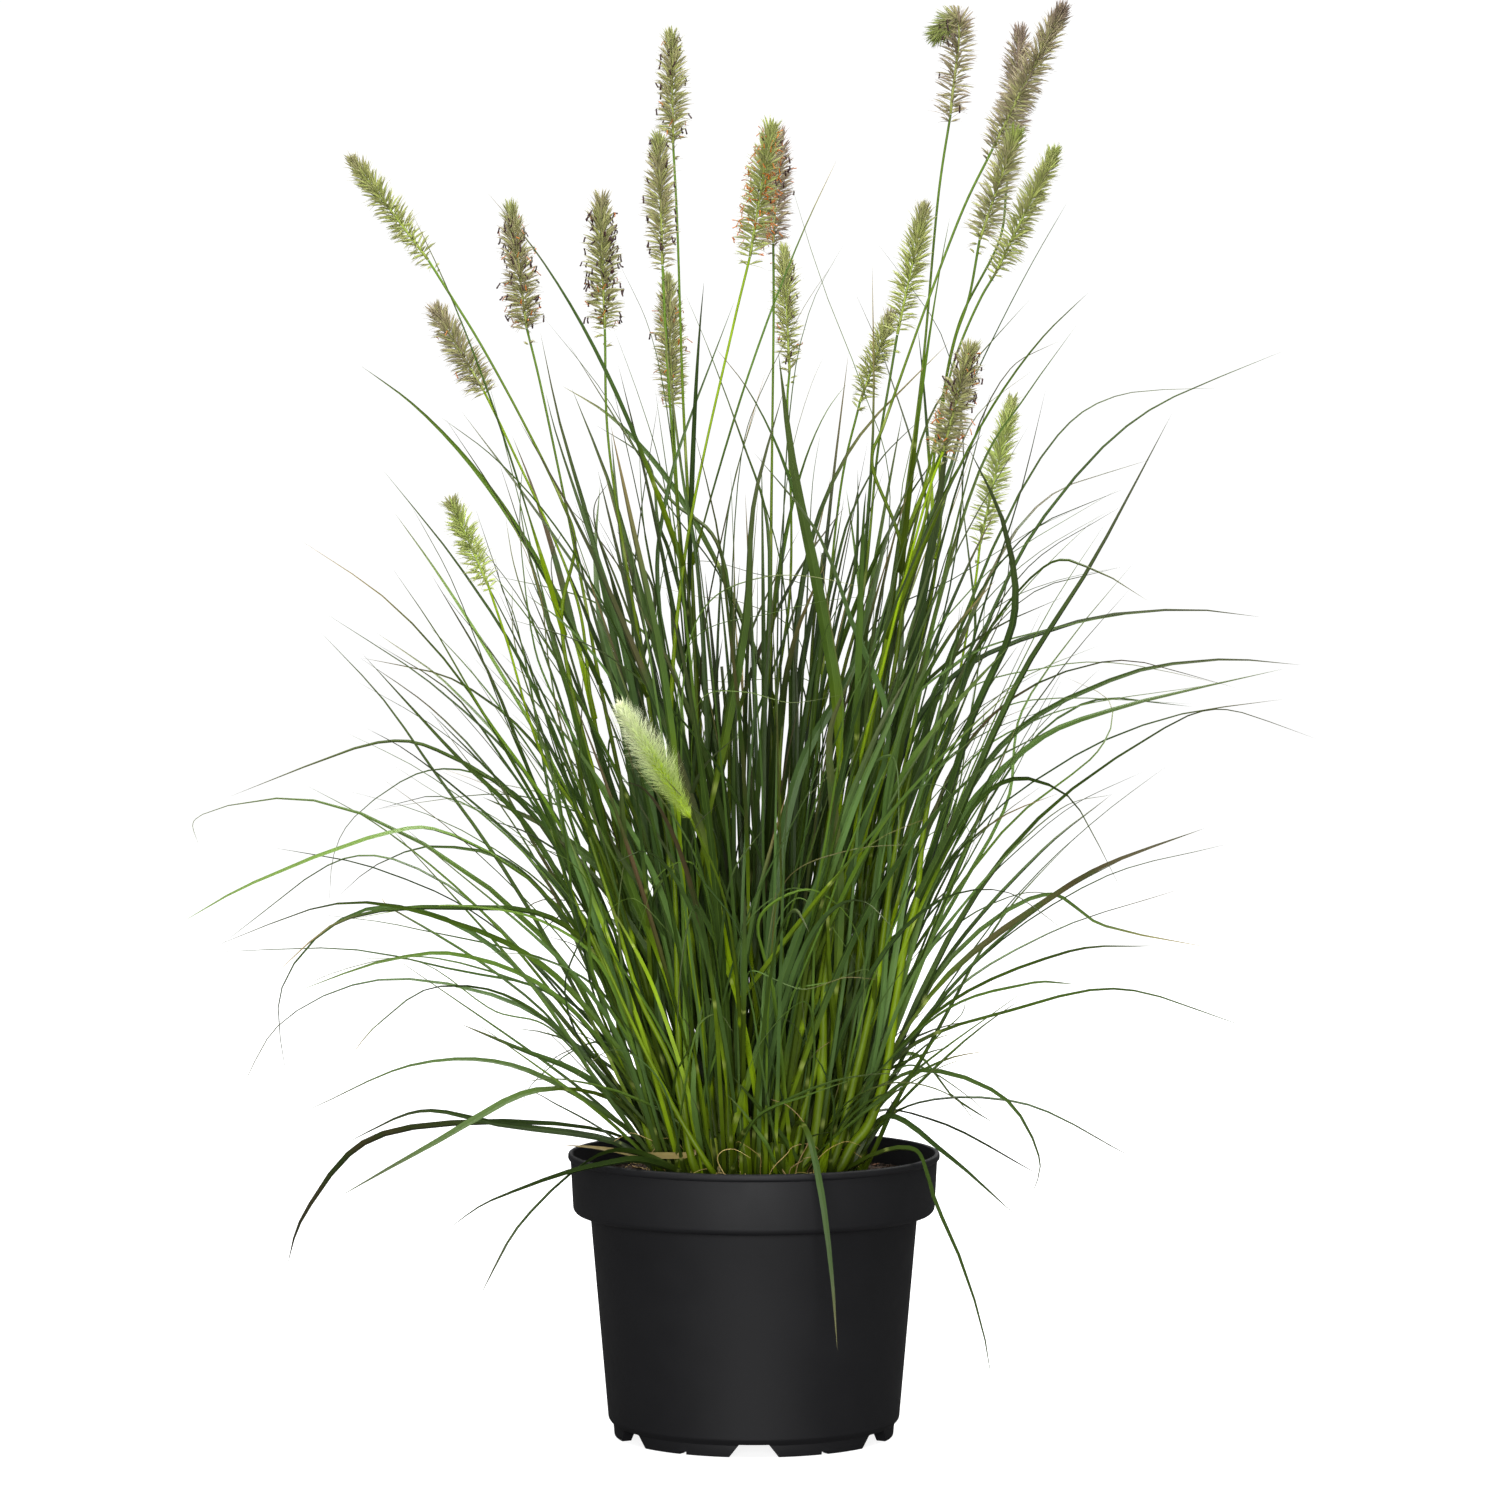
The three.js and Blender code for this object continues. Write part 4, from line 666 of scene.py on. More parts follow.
def grow_stems(clump, shoots):
    """Each flowering stem takes the free shoot that is nearest to its own line into the crown."""
    for number, spike in enumerate(SPIKES):
        foot, tip = np.array(spike.foot, float), np.array(spike.tip, float)
        aim = np.array(spike.via, float) * 0.9 if spike.via else foot * 0.34
        distance = math.hypot(aim[0], aim[1])
        if distance > CROWN_RADIUS:
            aim = aim * CROWN_RADIUS / distance
        aim[2] = SOIL_LEVEL
        free = [shoot for shoot in shoots if shoot.stem is None]
        shoot = min(free, key=lambda one: np.linalg.norm(one.centre - aim))
        root = shoot.centre + (0, 0, ROOT_SUNK)
        axis = unit((np.array(spike.top, float) if spike.top else tip) - foot)
        end = foot - 0.3 * axis
        neck = end - NECK * axis
        if spike.via:
            middle = np.array(spike.via, float)
        else:
            middle = (root + neck) / 2
            middle = lerp(middle, np.array((root[0], root[1], middle[2])), 0.16)
        curve = np.array((root, middle, neck, end))
        shares = np.arange(STEM_STEPS + 1) / STEM_STEPS
        shoot.stem = Strand(shoot.number, along(curve, shares), lerp(1.35, 0.9, shares), "stem", curve)
        line = np.array((foot, spike.top, tip) if spike.top else (foot, tip), float)
        radii = [spike.width / 2] * len(line)
        shoot.spike = Strand(shoot.number, line, radii, "spike", line, spike.width)
        shoot.spike_number = number
        clump.add(shoot.stem)
        clump.add(shoot.spike)


def grow_outline(clump, shoots):
    """The outline leaves, each from the free place nearest to its direction, clear of the rest."""
    for depth, width, *points in sorted(OUTLINE_LEAVES, key=lambda leaf: leaf[2][1]):
        steps = len(points) + (0 if any(len(point) > 2 for point in points) else 1)
        placed = False
        for shift in DEPTH_STEPS:
            if placed or (shift and abs(depth + shift) > DEPTH_LIMIT):
                continue
            listed = []
            for i, point in enumerate(points):
                share = ((i + 1) / len(points)) ** 1.3
                listed.append((point[0], point[2] if len(point) > 2 else (depth + shift) * share, point[1]))
            tip = listed[-1]
            reach = math.hypot(tip[0], tip[1])
            spread = (CROWN_RADIUS + LEAF_RING) * min(1, (reach / 190) ** 0.8)
            aim = (tip[0] * spread / reach, tip[1] * spread / reach)
            free = [(shoot, k) for shoot in shoots for k in range(LEAVES_ROUND) if not shoot.taken[k]]
            free.sort(key=lambda one: math.hypot(one[0].places[one[1]][0] - aim[0],
                                                 one[0].places[one[1]][1] - aim[1]))
            for shoot, k in free[:PLACES_TRIED]:
                strand = leaf_strand(shoot.number, [shoot.places[k], *listed], width, steps)
                placed = shoot.take(clump, strand, k)
                if placed:
                    break


def grow_inner(clump, shoots):
    """The rest of the places: upright in the middle, arching over in front and behind."""
    for shoot in shoots:
        for k, place in enumerate(shoot.places):
            if shoot.taken[k]:
                continue
            draw = draws_from(1000 * shoot.number + 10 * k + 7)
            out = math.hypot(place[0], place[1]) / (CROWN_RADIUS + LEAF_RING)
            away = math.atan2(place[1], place[0])
            for n in range(TRIES):
                heading = away + (draw() - 0.5) * math.radians(lerp(120, 50, out))
                arching = out > 0.62 and abs(math.cos(heading)) < 0.62 and draw() < 0.75
                lean = lerp(1, 26 if arching else 12, out) + draw() * 7
                bend = 35 + draw() * 70 if arching else 6 + draw() * 22
                reach = (250 + draw() * 130 if arching else 240 + draw() * 190) * (1 - 0.35 * n / TRIES)
                width = 3.2 + draw() * 1.8
                path = grown_path(place, heading, math.radians(lean), math.radians(bend), reach)
                if abs(path[-1, 0]) >= INNER_WIDTH or abs(path[-1, 1]) >= DEPTH_LIMIT:
                    continue
                if shoot.take(clump, leaf_strand(shoot.number, path, width, 5 if arching else 4), k):
                    break


def grow_stem_leaves(clump, shoots):
    """Leaves that leave a flowering stem part of the way up."""
    for shoot in shoots:
        if shoot.stem is None:
            continue
        for k, share in enumerate((0.22, 0.42)):
            draw = draws_from(5000 + 100 * shoot.number + k)
            root = along(shoot.stem.curve, [share])[0]
            tangent = heading_along(shoot.stem.curve, [share])[0]
            away = math.atan2(root[1], root[0])
            for n in range(TRIES):
                heading = away + (draw() - 0.5) * math.radians(200)
                lean = math.acos(tangent[2]) + math.radians(8 + draw() * 10)
                bend = math.radians(8 + draw() * 40)
                reach = (130 + draw() * 120) * (1 - 0.4 * n / TRIES)
                width = 3 + draw() * 1.5
                path = grown_path(root, heading, lean, bend, reach)
                if shoot.take(clump, leaf_strand(shoot.number, path, width, 4, "onstem")):
                    break


@functools.lru_cache(maxsize=1)
def grow_clump():
    """Every shoot with its leaves, grown once for all the operators."""
    clump = Clump()
    shoots = [Shoot(number) for number in range(SHOOT_COUNT)]
    for shoot in shoots:
        foot = (shoot.centre - (0, 0, 12), shoot.centre + (0, 0, 4))
        clump.add(Strand(shoot.number, foot, (7, 6.2), "foot"))
    grow_stems(clump, shoots)
    grow_outline(clump, shoots)
    grow_inner(clump, shoots)
    grow_stem_leaves(clump, shoots)
    return shoots


# Meshes


def turned(profile, around, merged):
    """A closed form turned from a profile, given as (radius, level) from its lower pole to its upper."""
    bm = bmesh.new()
    chain = [bm.verts.new((radius, 0, level)) for radius, level in profile]
    links = [bm.edges.new(pair) for pair in zip(chain, chain[1:])]
    bmesh.ops.spin(bm, geom=chain + links, cent=(0, 0, 0), axis=(0, 0, 1), angle=2 * math.pi,
                   steps=around, use_merge=True)
    bmesh.ops.remove_doubles(bm, verts=bm.verts, dist=merged)
    bmesh.ops.recalc_face_normals(bm, faces=bm.faces)
    return bm


def mesh_of(bm, name):
    """The finished mesh of a bmesh, which is freed."""
    mesh = bpy.data.meshes.new(name)
    bm.to_mesh(mesh)
    bm.free()
    return mesh


def in_scene(name, data):
    """An object that shows the data, linked to the scene."""
    made = bpy.data.objects.new(name, data)
    bpy.context.scene.collection.objects.link(made)
    return made


class Blank:
    """A closed spindle of rings between two poles, to be copied and bent into a leaf, tube or grain."""

    def __init__(self, rings, around, keeled=False):
        profile = [(0 if i in (0, rings + 1) else 1, i) for i in range(rings + 2)]
        self.mesh = mesh_of(turned(profile, around, 1e-4), "blank")
        co = np.array([v.co for v in self.mesh.vertices])
        self.rings = rings
        self.ring = np.rint(co[:, 2]).astype(int)
        self.inner = np.clip(self.ring - 1, 0, rings - 1)
        self.pole = np.hypot(co[:, 0], co[:, 1]) < 0.5
        self.turn = np.where(self.pole, 0, np.arctan2(co[:, 1], co[:, 0]))
        self.step = np.rint(self.turn / (2 * math.pi / around)).astype(int) % around
        self.size = len(co)
        self.faces = len(self.mesh.polygons)
        pairs = np.array([edge.vertices for edge in self.mesh.edges])
        self.creases = (self.ring[pairs[:, 0]] != self.ring[pairs[:, 1]]) & keeled

    def marks(self, *values):
        """Three values for each point of one copy, each given as one number or as one for each point."""
        return np.stack([np.broadcast_to(value, self.size) for value in values], 1)[None]


class Growth:
    """Collects copies of blanks, with places and a colour or other marks for each point."""

    def __init__(self):
        self.parts = []

    def add(self, blank, places, material=0, **marks):
        """places is (copies, points, 3); each mark is (copies, points, 3) or broadcasts to it."""
        places = np.asarray(places, float)
        marks = {name: np.broadcast_to(value, places.shape) for name, value in marks.items()}
        self.parts.append((blank, places, material, marks))

    def piece(self, name, materials, mark_kinds, smooth=True):
        """Joins all copies into one object, with its marks as attributes, kept inside the solids' box."""
        bm = bmesh.new()
        for blank, places, *_ in self.parts:
            for _ in range(len(places)):
                bm.from_mesh(blank.mesh)
        mesh = mesh_of(bm, name)
        places = np.concatenate([part[1].reshape(-1, 3) for part in self.parts]) * MM
        places = np.clip(places, np.array(CAD_BOX[0]) + 1e-5, np.array(CAD_BOX[1]) - 1e-5)
        mesh.vertices.foreach_set("co", places.astype(np.float32).ravel())
        for mark in mark_kinds:
            values = np.concatenate([part[3].get(mark, np.zeros_like(part[1])).reshape(-1, 3)
                                     for part in self.parts])
            layer = mesh.attributes.new(mark, "FLOAT_VECTOR", "POINT")
            layer.data.foreach_set("vector", values.astype(np.float32).ravel())
        index = np.concatenate([np.full(len(part[1]) * part[0].faces, part[2]) for part in self.parts])
        mesh.polygons.foreach_set("material_index", index.astype(np.int32))
        mesh.polygons.foreach_set("use_smooth", np.full(len(index), smooth))
        creases = np.concatenate([np.tile(part[0].creases, len(part[1])) for part in self.parts])
        if creases.any():
            layer = mesh.attributes.new("sharp_edge", "BOOLEAN", "EDGE")
            layer.data.foreach_set("value", creases)
        for material in materials:
            mesh.materials.append(material)
        mesh.update()
        return in_scene(name, mesh)


def spindles(blank, base, tip, radius, profile, sag=None):
    """Straight or sagging spindles from base to tip: profile is (share, radius) of each ring."""
    base, tip = np.atleast_2d(base), np.atleast_2d(tip)
    shares = np.array([0.0, *[p[0] for p in profile], 1.0])[blank.ring]
    widths = np.array([0.0, *[p[1] for p in profile], 0.0])[blank.ring]
    forward = unit(tip - base)
    hint = np.where(np.abs(forward[:, 2:3]) > 0.9, np.array([[1.0, 0, 0]]), np.array([[0, 0, 1.0]]))
    u = unit(np.cross(forward, hint))
    v = np.cross(forward, u)
    places = base[:, None] + (tip - base)[:, None] * shares[None, :, None]
    if sag is not None:
        places = places + np.atleast_2d(sag)[:, None] * (4 * shares * (1 - shares))[None, :, None]
    r = (np.broadcast_to(radius, len(base))[:, None] * widths[None])[..., None]
    cos, sin = np.cos(blank.turn)[None, :, None], np.sin(blank.turn)[None, :, None]
    return places + r * (cos * u[:, None] + sin * v[:, None])


def tube_places(blank, path, radii, shares):
    """A tube along a smooth line; radii are for each ring."""
    centres = along(path, shares)
    forward = heading_along(path, shares)
    side = unit(np.cross(forward, (0.31, 0.95, 0.05)))
    up = np.cross(forward, side)
    ring = blank.inner
    r = np.where(blank.pole, 0, np.asarray(radii)[ring])[:, None]
    cos, sin = np.cos(blank.turn)[:, None], np.sin(blank.turn)[:, None]
    return centres[ring] + r * (cos * side[ring] + sin * up[ring])


def ring_shares(curve, count):
    """Where rings lie on a curve, closer where it bends, and the share of its length at each."""
    fine = np.linspace(0, 1, 97)
    steps = np.diff(along(curve, fine), axis=0)
    lengths = np.linalg.norm(steps, axis=1)
    headings = steps / lengths[:, None]
    bends = np.arccos(np.clip((headings[1:] * headings[:-1]).sum(1), -1, 1))
    weights = np.cumsum(lengths / lengths.sum() + 0.8 * np.append(0, bends))
    reached = np.append(0, weights / weights[-1])
    even = np.linspace(0, 1, count)
    run = np.append(0, np.cumsum(lengths)) / lengths.sum()
    return np.interp(even, reached, fine), np.interp(even, reached, run)


def blade_places(blank, curve, width, sizes, collar, twist, turn, face=None):
    """A leaf: a round sheath that opens at its collar into a folded blade with a keel."""
    at, shares = ring_shares(curve, blank.rings + 1)
    centres = along(curve, at)
    forward = heading_along(curve, at)
    if face is None:
        root, tip = curve[0], curve[-1]
        side = unit(np.array((root[1] - tip[1], tip[0] - root[0], 0.0)))
        above = unit(np.cross(forward, side))
    else:
        above = unit(face - forward * (forward @ face)[:, None])
    across = np.cross(above, forward)
    angle = (twist * shares + turn)[:, None]
    cos, sin = np.cos(angle), np.sin(angle)
    across, above = across * cos + above * sin, above * cos - across * sin
    way = np.clip((shares - collar) / (1 - collar), 0, 1)
    # A broad blade keeps its width for longer before it tapers.
    power = 1.45 + 0.4 * max(0, width - 3)
    half = width / 2 * (np.maximum(1 - way**power, 0) * 0.95 + 0.05)
    half = half * (0.72 + 0.28 * np.minimum(1, way / 0.3))
    # The sheath opens into the blade over a short stretch at the collar.
    open_share = np.clip((shares - collar + 0.03) / 0.09, 0, 1)
    open_share = open_share**2 * (3 - 2 * open_share)
    sheath = sizes.sheath_radius / MM * (1 - 0.25 * shares / max(collar, 0.05)).clip(0.7, 1)
    thick = sizes.thickness / MM / 2 * (1 - 0.6 * way)
    keel = sizes.keel / MM * (1 - 0.7 * way)
    rise = sizes.fold * half
    # A ring has four points: one edge, the middle above, the other edge and the keel below.
    flat = np.array((1, 0, -1, 0))[blank.step]
    lift = np.abs(flat)
    skin = np.array((0, 0.55, 0, -1))[blank.step]
    ribbed = np.array((0, 0, 0, -1))[blank.step]
    ring = np.maximum(blank.ring - 1, 0)
    x = flat * half[ring]
    y = lift * rise[ring] - rise[ring] / 2 + skin * thick[ring] + ribbed * keel[ring]
    round_x, round_y = np.cos(blank.turn) * sheath[ring], np.sin(blank.turn) * sheath[ring]
    mix = open_share[ring]
    x, y = lerp(round_x, x, mix), lerp(round_y, y, mix)
    x, y = np.where(blank.pole, 0, x), np.where(blank.pole, 0, y)
    places = centres[ring] + x[:, None] * across[ring] + y[:, None] * above[ring]
    return places[None], blank.marks(np.where(blank.pole, 0, flat), shares[ring], collar)


def finish_piece(made, nodes):
    """Hangs a piece under the root and hides the solids that it replaces."""
    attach(made, "root")
    if nodes:
        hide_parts(*nodes)


# Materials


def new_group(name, inputs, outputs):
    group = bpy.data.node_groups.new(name, "ShaderNodeTree")
    for label, kind, default in inputs:
        socket = group.interface.new_socket(label, in_out="INPUT", socket_type=kind)
        socket.default_value = default
    for label, kind in outputs:
        group.interface.new_socket(label, in_out="OUTPUT", socket_type=kind)
    start = group.nodes.new("NodeGroupInput")
    end = group.nodes.new("NodeGroupOutput")
    return group, start, end


def math_node(tree, operation, a, b=None):
    node = tree.nodes.new("ShaderNodeMath")
    node.operation = operation
    for socket, value in zip(node.inputs, (a, b)):
        if value is None:
            continue
        if isinstance(value, (int, float)):
            socket.default_value = value
        else:
            tree.links.new(value, socket)
    return node.outputs[0]


def plus(tree, a, b):
    return math_node(tree, "ADD", a, b)


def times(tree, a, b):
    return math_node(tree, "MULTIPLY", a, b)


def object_place(tree):
    return tree.nodes.new("ShaderNodeTexCoord").outputs["Object"]


def mix_colour(tree, factor, a, b, blend="MIX"):
    """A Mix node has sockets of several types under one name, so those of colours go by their number."""
    node = tree.nodes.new("ShaderNodeMix")
    node.data_type = "RGBA"
    node.blend_type = blend
    sockets = (node.inputs[0], node.inputs[6], node.inputs[7])
    for socket, value in zip(sockets, (factor, a, b)):
        if isinstance(value, bpy.types.NodeSocket):
            tree.links.new(value, socket)
        elif isinstance(value, (int, float)):
            socket.default_value = value
        else:
            socket.default_value = (*value, 1)
    return node.outputs[2]


def smooth_step(tree, value, low, high, start=0, end=1):
    """Goes from start to end as the value goes from low to high."""
    node = tree.nodes.new("ShaderNodeMapRange")
    node.interpolation_type = "SMOOTHSTEP"
    tree.links.new(value, node.inputs["Value"])
    for name, number in (("From Min", low), ("From Max", high), ("To Min", start), ("To Max", end)):
        node.inputs[name].default_value = number
    return node.outputs["Result"]


def noise_on(tree, coordinates, scale, detail=3.0, roughness=0.55):
    node = tree.nodes.new("ShaderNodeTexNoise")
    node.inputs["Scale"].default_value = scale
    node.inputs["Detail"].default_value = detail
    node.inputs["Roughness"].default_value = roughness
    tree.links.new(coordinates, node.inputs["Vector"])
    return node.outputs["Fac"]


def mottle_group():
    """Colour that varies with place: lighter and darker patches of one size."""
    group, start, end = new_group(
        "Mottle",
        (("Color", "NodeSocketColor", (0.5, 0.5, 0.5, 1)), ("Scale", "NodeSocketFloat", 60.0),
         ("Amount", "NodeSocketFloat", 0.3)),
        (("Color", "NodeSocketColor"), ("Value", "NodeSocketFloat")),
    )
    place = object_place(group)
    texture = group.nodes.new("ShaderNodeTexNoise")
    texture.inputs["Detail"].default_value = 4
    group.links.new(place, texture.inputs["Vector"])
    group.links.new(start.outputs["Scale"], texture.inputs["Scale"])
    swing = math_node(group, "SUBTRACT", texture.outputs["Fac"], 0.5)
    swing = times(group, swing, start.outputs["Amount"])
    swing = math_node(group, "MULTIPLY_ADD", swing, 2.0)
    swing.node.inputs[2].default_value = 1.0
    scaled = group.nodes.new("ShaderNodeVectorMath")
    scaled.operation = "SCALE"
    group.links.new(start.outputs["Color"], scaled.inputs[0])
    group.links.new(swing, scaled.inputs["Scale"])
    group.links.new(scaled.outputs[0], end.inputs["Color"])
    group.links.new(texture.outputs["Fac"], end.inputs["Value"])
    return group


def painted_clump_shade_group():
    """A painted shade: a grey that darkens the grass towards the middle of the clump, most near the soil."""
    group, _, end = new_group("Inside the clump", (), (("Shade", "NodeSocketColor"),))
    split = group.nodes.new("ShaderNodeSeparateXYZ")
    group.links.new(object_place(group), split.inputs[0])
    x, y, height = split.outputs
    squares = plus(group, times(group, x, x), times(group, y, y))
    edge = plus(group, times(group, height, 0.3), 0.012)
    share = math_node(group, "DIVIDE", math_node(group, "SQRT", squares), edge)
    dark = smooth_step(group, share, 0.3, 0.95, 0.32, 1.0)
    dark = math_node(group, "MAXIMUM", dark, smooth_step(group, height, 0.3, 0.6))
    low = smooth_step(group, height, 0.135, 0.25, 0.5, 1.0)
    group.links.new(times(group, dark, low), end.inputs["Shade"])
    return group


def use_group(tree, name, make):
    """A node of the group of that name, which is made when it is first used."""
    node = tree.nodes.new("ShaderNodeGroup")
    node.node_tree = bpy.data.node_groups.get(name) or make()
    return node


def new_material(name, roughness=0.6, specular=0.5):
    material = bpy.data.materials.new(name)
    material.use_nodes = True
    shader = material.node_tree.nodes["Principled BSDF"]
    shader.inputs["Roughness"].default_value = roughness
    shader.inputs["Specular IOR Level"].default_value = specular
    return material, material.node_tree, shader


def mottled(tree, colour_value, scale, amount):
    node = use_group(tree, "Mottle", mottle_group)
    node.inputs["Scale"].default_value = scale
    node.inputs["Amount"].default_value = amount
    if isinstance(colour_value, bpy.types.NodeSocket):
        tree.links.new(colour_value, node.inputs["Color"])
    else:
        node.inputs["Color"].default_value = (*colour_value, 1)
    return node.outputs["Color"], node.outputs["Value"]


def bump_into(tree, shader, height, strength, distance):
    node = tree.nodes.new("ShaderNodeBump")
    node.inputs["Strength"].default_value = strength
    node.inputs["Distance"].default_value = distance
    tree.links.new(height, node.inputs["Height"])
    tree.links.new(node.outputs["Normal"], shader.inputs["Normal"])


def marks_of(tree, name):
    """The three values of one of the piece's own attributes."""
    node = tree.nodes.new("ShaderNodeAttribute")
    node.attribute_name = name
    split = tree.nodes.new("ShaderNodeSeparateXYZ")
    tree.links.new(node.outputs["Vector"], split.inputs[0])
    return split.outputs


def plastic_material(colours):
    material, tree, shader = new_material("moulded plastic", 0.6, 0.28)
    place = object_place(tree)
    stretch = tree.nodes.new("ShaderNodeMapping")
    stretch.inputs["Scale"].default_value = (1, 1, 14)
    tree.links.new(place, stretch.inputs["Vector"])
    rings = noise_on(tree, stretch.outputs["Vector"], 60, 3)
    grain = noise_on(tree, place, 2600, 2)
    colour_out, patches = mottled(tree, colours.pot, 45, 0.1)
    tree.links.new(colour_out, shader.inputs["Base Color"])
    rough = smooth_step(tree, patches, 0.3, 0.7, 0.56, 0.64)
    tree.links.new(rough, shader.inputs["Roughness"])
    bump_into(tree, shader, plus(tree, times(tree, rings, 0.5), times(tree, grain, 0.5)), 0.12, 0.0002)
    return material


def foliage_material(colours):
    """Grass: sheaths, blades with their veins, midrib and worn tips, and the joints of the stems."""
    material, tree, shader = new_material("grass", 0.45, 0.2)
    across, share, collar = marks_of(tree, "blade")
    tone, dry, bright = marks_of(tree, "leaf")
    blue, rusty, wear = marks_of(tree, "mood")
    side = math_node(tree, "ABSOLUTE", across)
    patch = noise_on(tree, object_place(tree), 28, 3)
    swing = times(tree, math_node(tree, "SUBTRACT", patch, 0.5), 0.9)
    lightness = plus(tree, tone, swing)
    lightness = math_node(tree, "MINIMUM", math_node(tree, "MAXIMUM", lightness, 0.0), 1.0)
    green = mix_colour(tree, lightness, colours.blade_dark, colours.blade_light)
    bluish = mix_colour(tree, lightness, colours.bluish_dark, colours.bluish_light)
    green = mix_colour(tree, blue, green, bluish)
    veins = math_node(tree, "SINE", times(tree, across, 22.0))
    vein_mask = times(tree, plus(tree, veins, 1.0), 0.1)
    green = mix_colour(tree, vein_mask, green, colours.blade_light)
    rib = times(tree, smooth_step(tree, side, 0.0, 0.16, 1, 0), 0.35)
    green = mix_colour(tree, rib, green, colours.midrib)
    ageing = times(tree, smooth_step(tree, share, 0.3, 0.6), smooth_step(tree, patch, 0.35, 0.6))
    green = mix_colour(tree, times(tree, ageing, rusty), green, colours.rusty)
    worn = times(tree, smooth_step(tree, share, 0.62, 1.0), wear)
    green = mix_colour(tree, worn, green, colours.blade_tip)
    past = math_node(tree, "SUBTRACT", share, collar)
    sheathed = smooth_step(tree, past, -0.03, 0.14, 1, 0)
    sheath = mix_colour(tree, bright, colours.sheath_dark, colours.sheath)
    sheath, _ = mottled(tree, sheath, 70, 0.5)
    both = mix_colour(tree, sheathed, green, sheath)
    ring = smooth_step(tree, math_node(tree, "ABSOLUTE", past), 0.0, 0.012, 0.6, 0)
    joint = math_node(tree, "MAXIMUM", ring, math_node(tree, "SUBTRACT", bright, 1.0))
    both = mix_colour(tree, math_node(tree, "MINIMUM", joint, 0.9), both, colours.joint)
    ends = smooth_step(tree, share, 0.75, 1.0)
    withered = times(tree, ends, dry)
    whole = smooth_step(tree, dry, 0.85, 1.0)
    withered = math_node(tree, "MAXIMUM", withered, whole)
    both = mix_colour(tree, withered, both, colours.straw)
    # Painted shade: the grass is darkened towards the middle of the clump and near the soil.
    shade = use_group(tree, "Inside the clump", painted_clump_shade_group)
    both = mix_colour(tree, 1.0, both, shade.outputs["Shade"], "MULTIPLY")
    tree.links.new(both, shader.inputs["Base Color"])
    tree.links.new(smooth_step(tree, patch, 0.3, 0.7, 0.38, 0.55), shader.inputs["Roughness"])
    bump_into(tree, shader, veins, 0.25, 0.0001)
    return material


def tinted_material(name, roughness, specular, scale, amount, bump=0.2):
    """A finish whose colour comes from the piece's own tint."""
    material, tree, shader = new_material(name, roughness, specular)
    tint = tree.nodes.new("ShaderNodeAttribute")
    tint.attribute_name = "tint"
    colour_out, value = mottled(tree, tint.outputs["Color"], scale, amount)
    tree.links.new(colour_out, shader.inputs["Base Color"])
    bump_into(tree, shader, value, bump, 0.0004)
    return material


def soil_material(colours):
    material, tree, shader = new_material("peat", 0.95, 0.2)
    place = object_place(tree)
    fine = noise_on(tree, place, 900, 5, 0.7)
    coarse = noise_on(tree, place, 160, 4, 0.6)
    light = tuple(min(1, c * 3.2) for c in colours.soil)
    base = mix_colour(tree, smooth_step(tree, fine, 0.42, 0.7), colours.soil, light)
    base = mix_colour(tree, smooth_step(tree, coarse, 0.6, 0.75), base, tuple(c * 0.5 for c in colours.bark))
    tree.links.new(base, shader.inputs["Base Color"])
    bump_into(tree, shader, plus(tree, fine, coarse), 0.9, 0.0012)
    return material


# The pot

FEET = 6
# The notches and the slits of the foot ring: width below, width on top and height.
NOTCH = (0.025, 0.015, 0.0065)
SLIT = (0.004, 0.004, 0.0015)
DRAIN_CIRCLE = 0.048
DRAIN_RADIUS = 0.004
DRAIN_DEPTH = 0.0072
SHARP_ANGLE = math.radians(32)


def cutter_bar(bm, low_width, high_width, height, radius, turn):
    """A bar through the foot ring, wide below and narrow on top."""
    made = bmesh.ops.create_cube(bm, size=1.0)["verts"]
    below = 0.002
    slope = (low_width - high_width) / height
    for vert in made:
        low = vert.co.z < 0
        width = low_width + slope * below if low else high_width
        vert.co.x *= width
        vert.co.y = vert.co.y * 0.03 + radius + 0.007
        vert.co.z = -below if low else height
    bmesh.ops.rotate(bm, verts=made, cent=(0, 0, 0), matrix=Matrix.Rotation(turn - math.pi / 2, 3, "Z"))


def bevel_ring(bm, radius, level, offset, segments):
    """Rounds the edge that runs round the pot at a radius and a level."""
    edges = [edge for edge in bm.edges
             if all(abs(math.hypot(v.co.x, v.co.y) - radius) < 2e-5 and abs(v.co.z - level) < 2e-5
                    for v in edge.verts)]
    if not edges:
        raise RuntimeError("the pot has no ring at %.4f, %.4f" % (radius, level))
    bmesh.ops.bevel(bm, geom=edges, offset=offset, offset_type="OFFSET", segments=segments,
                    profile=0.5, affect="EDGES", clamp_overlap=True, material=-1)


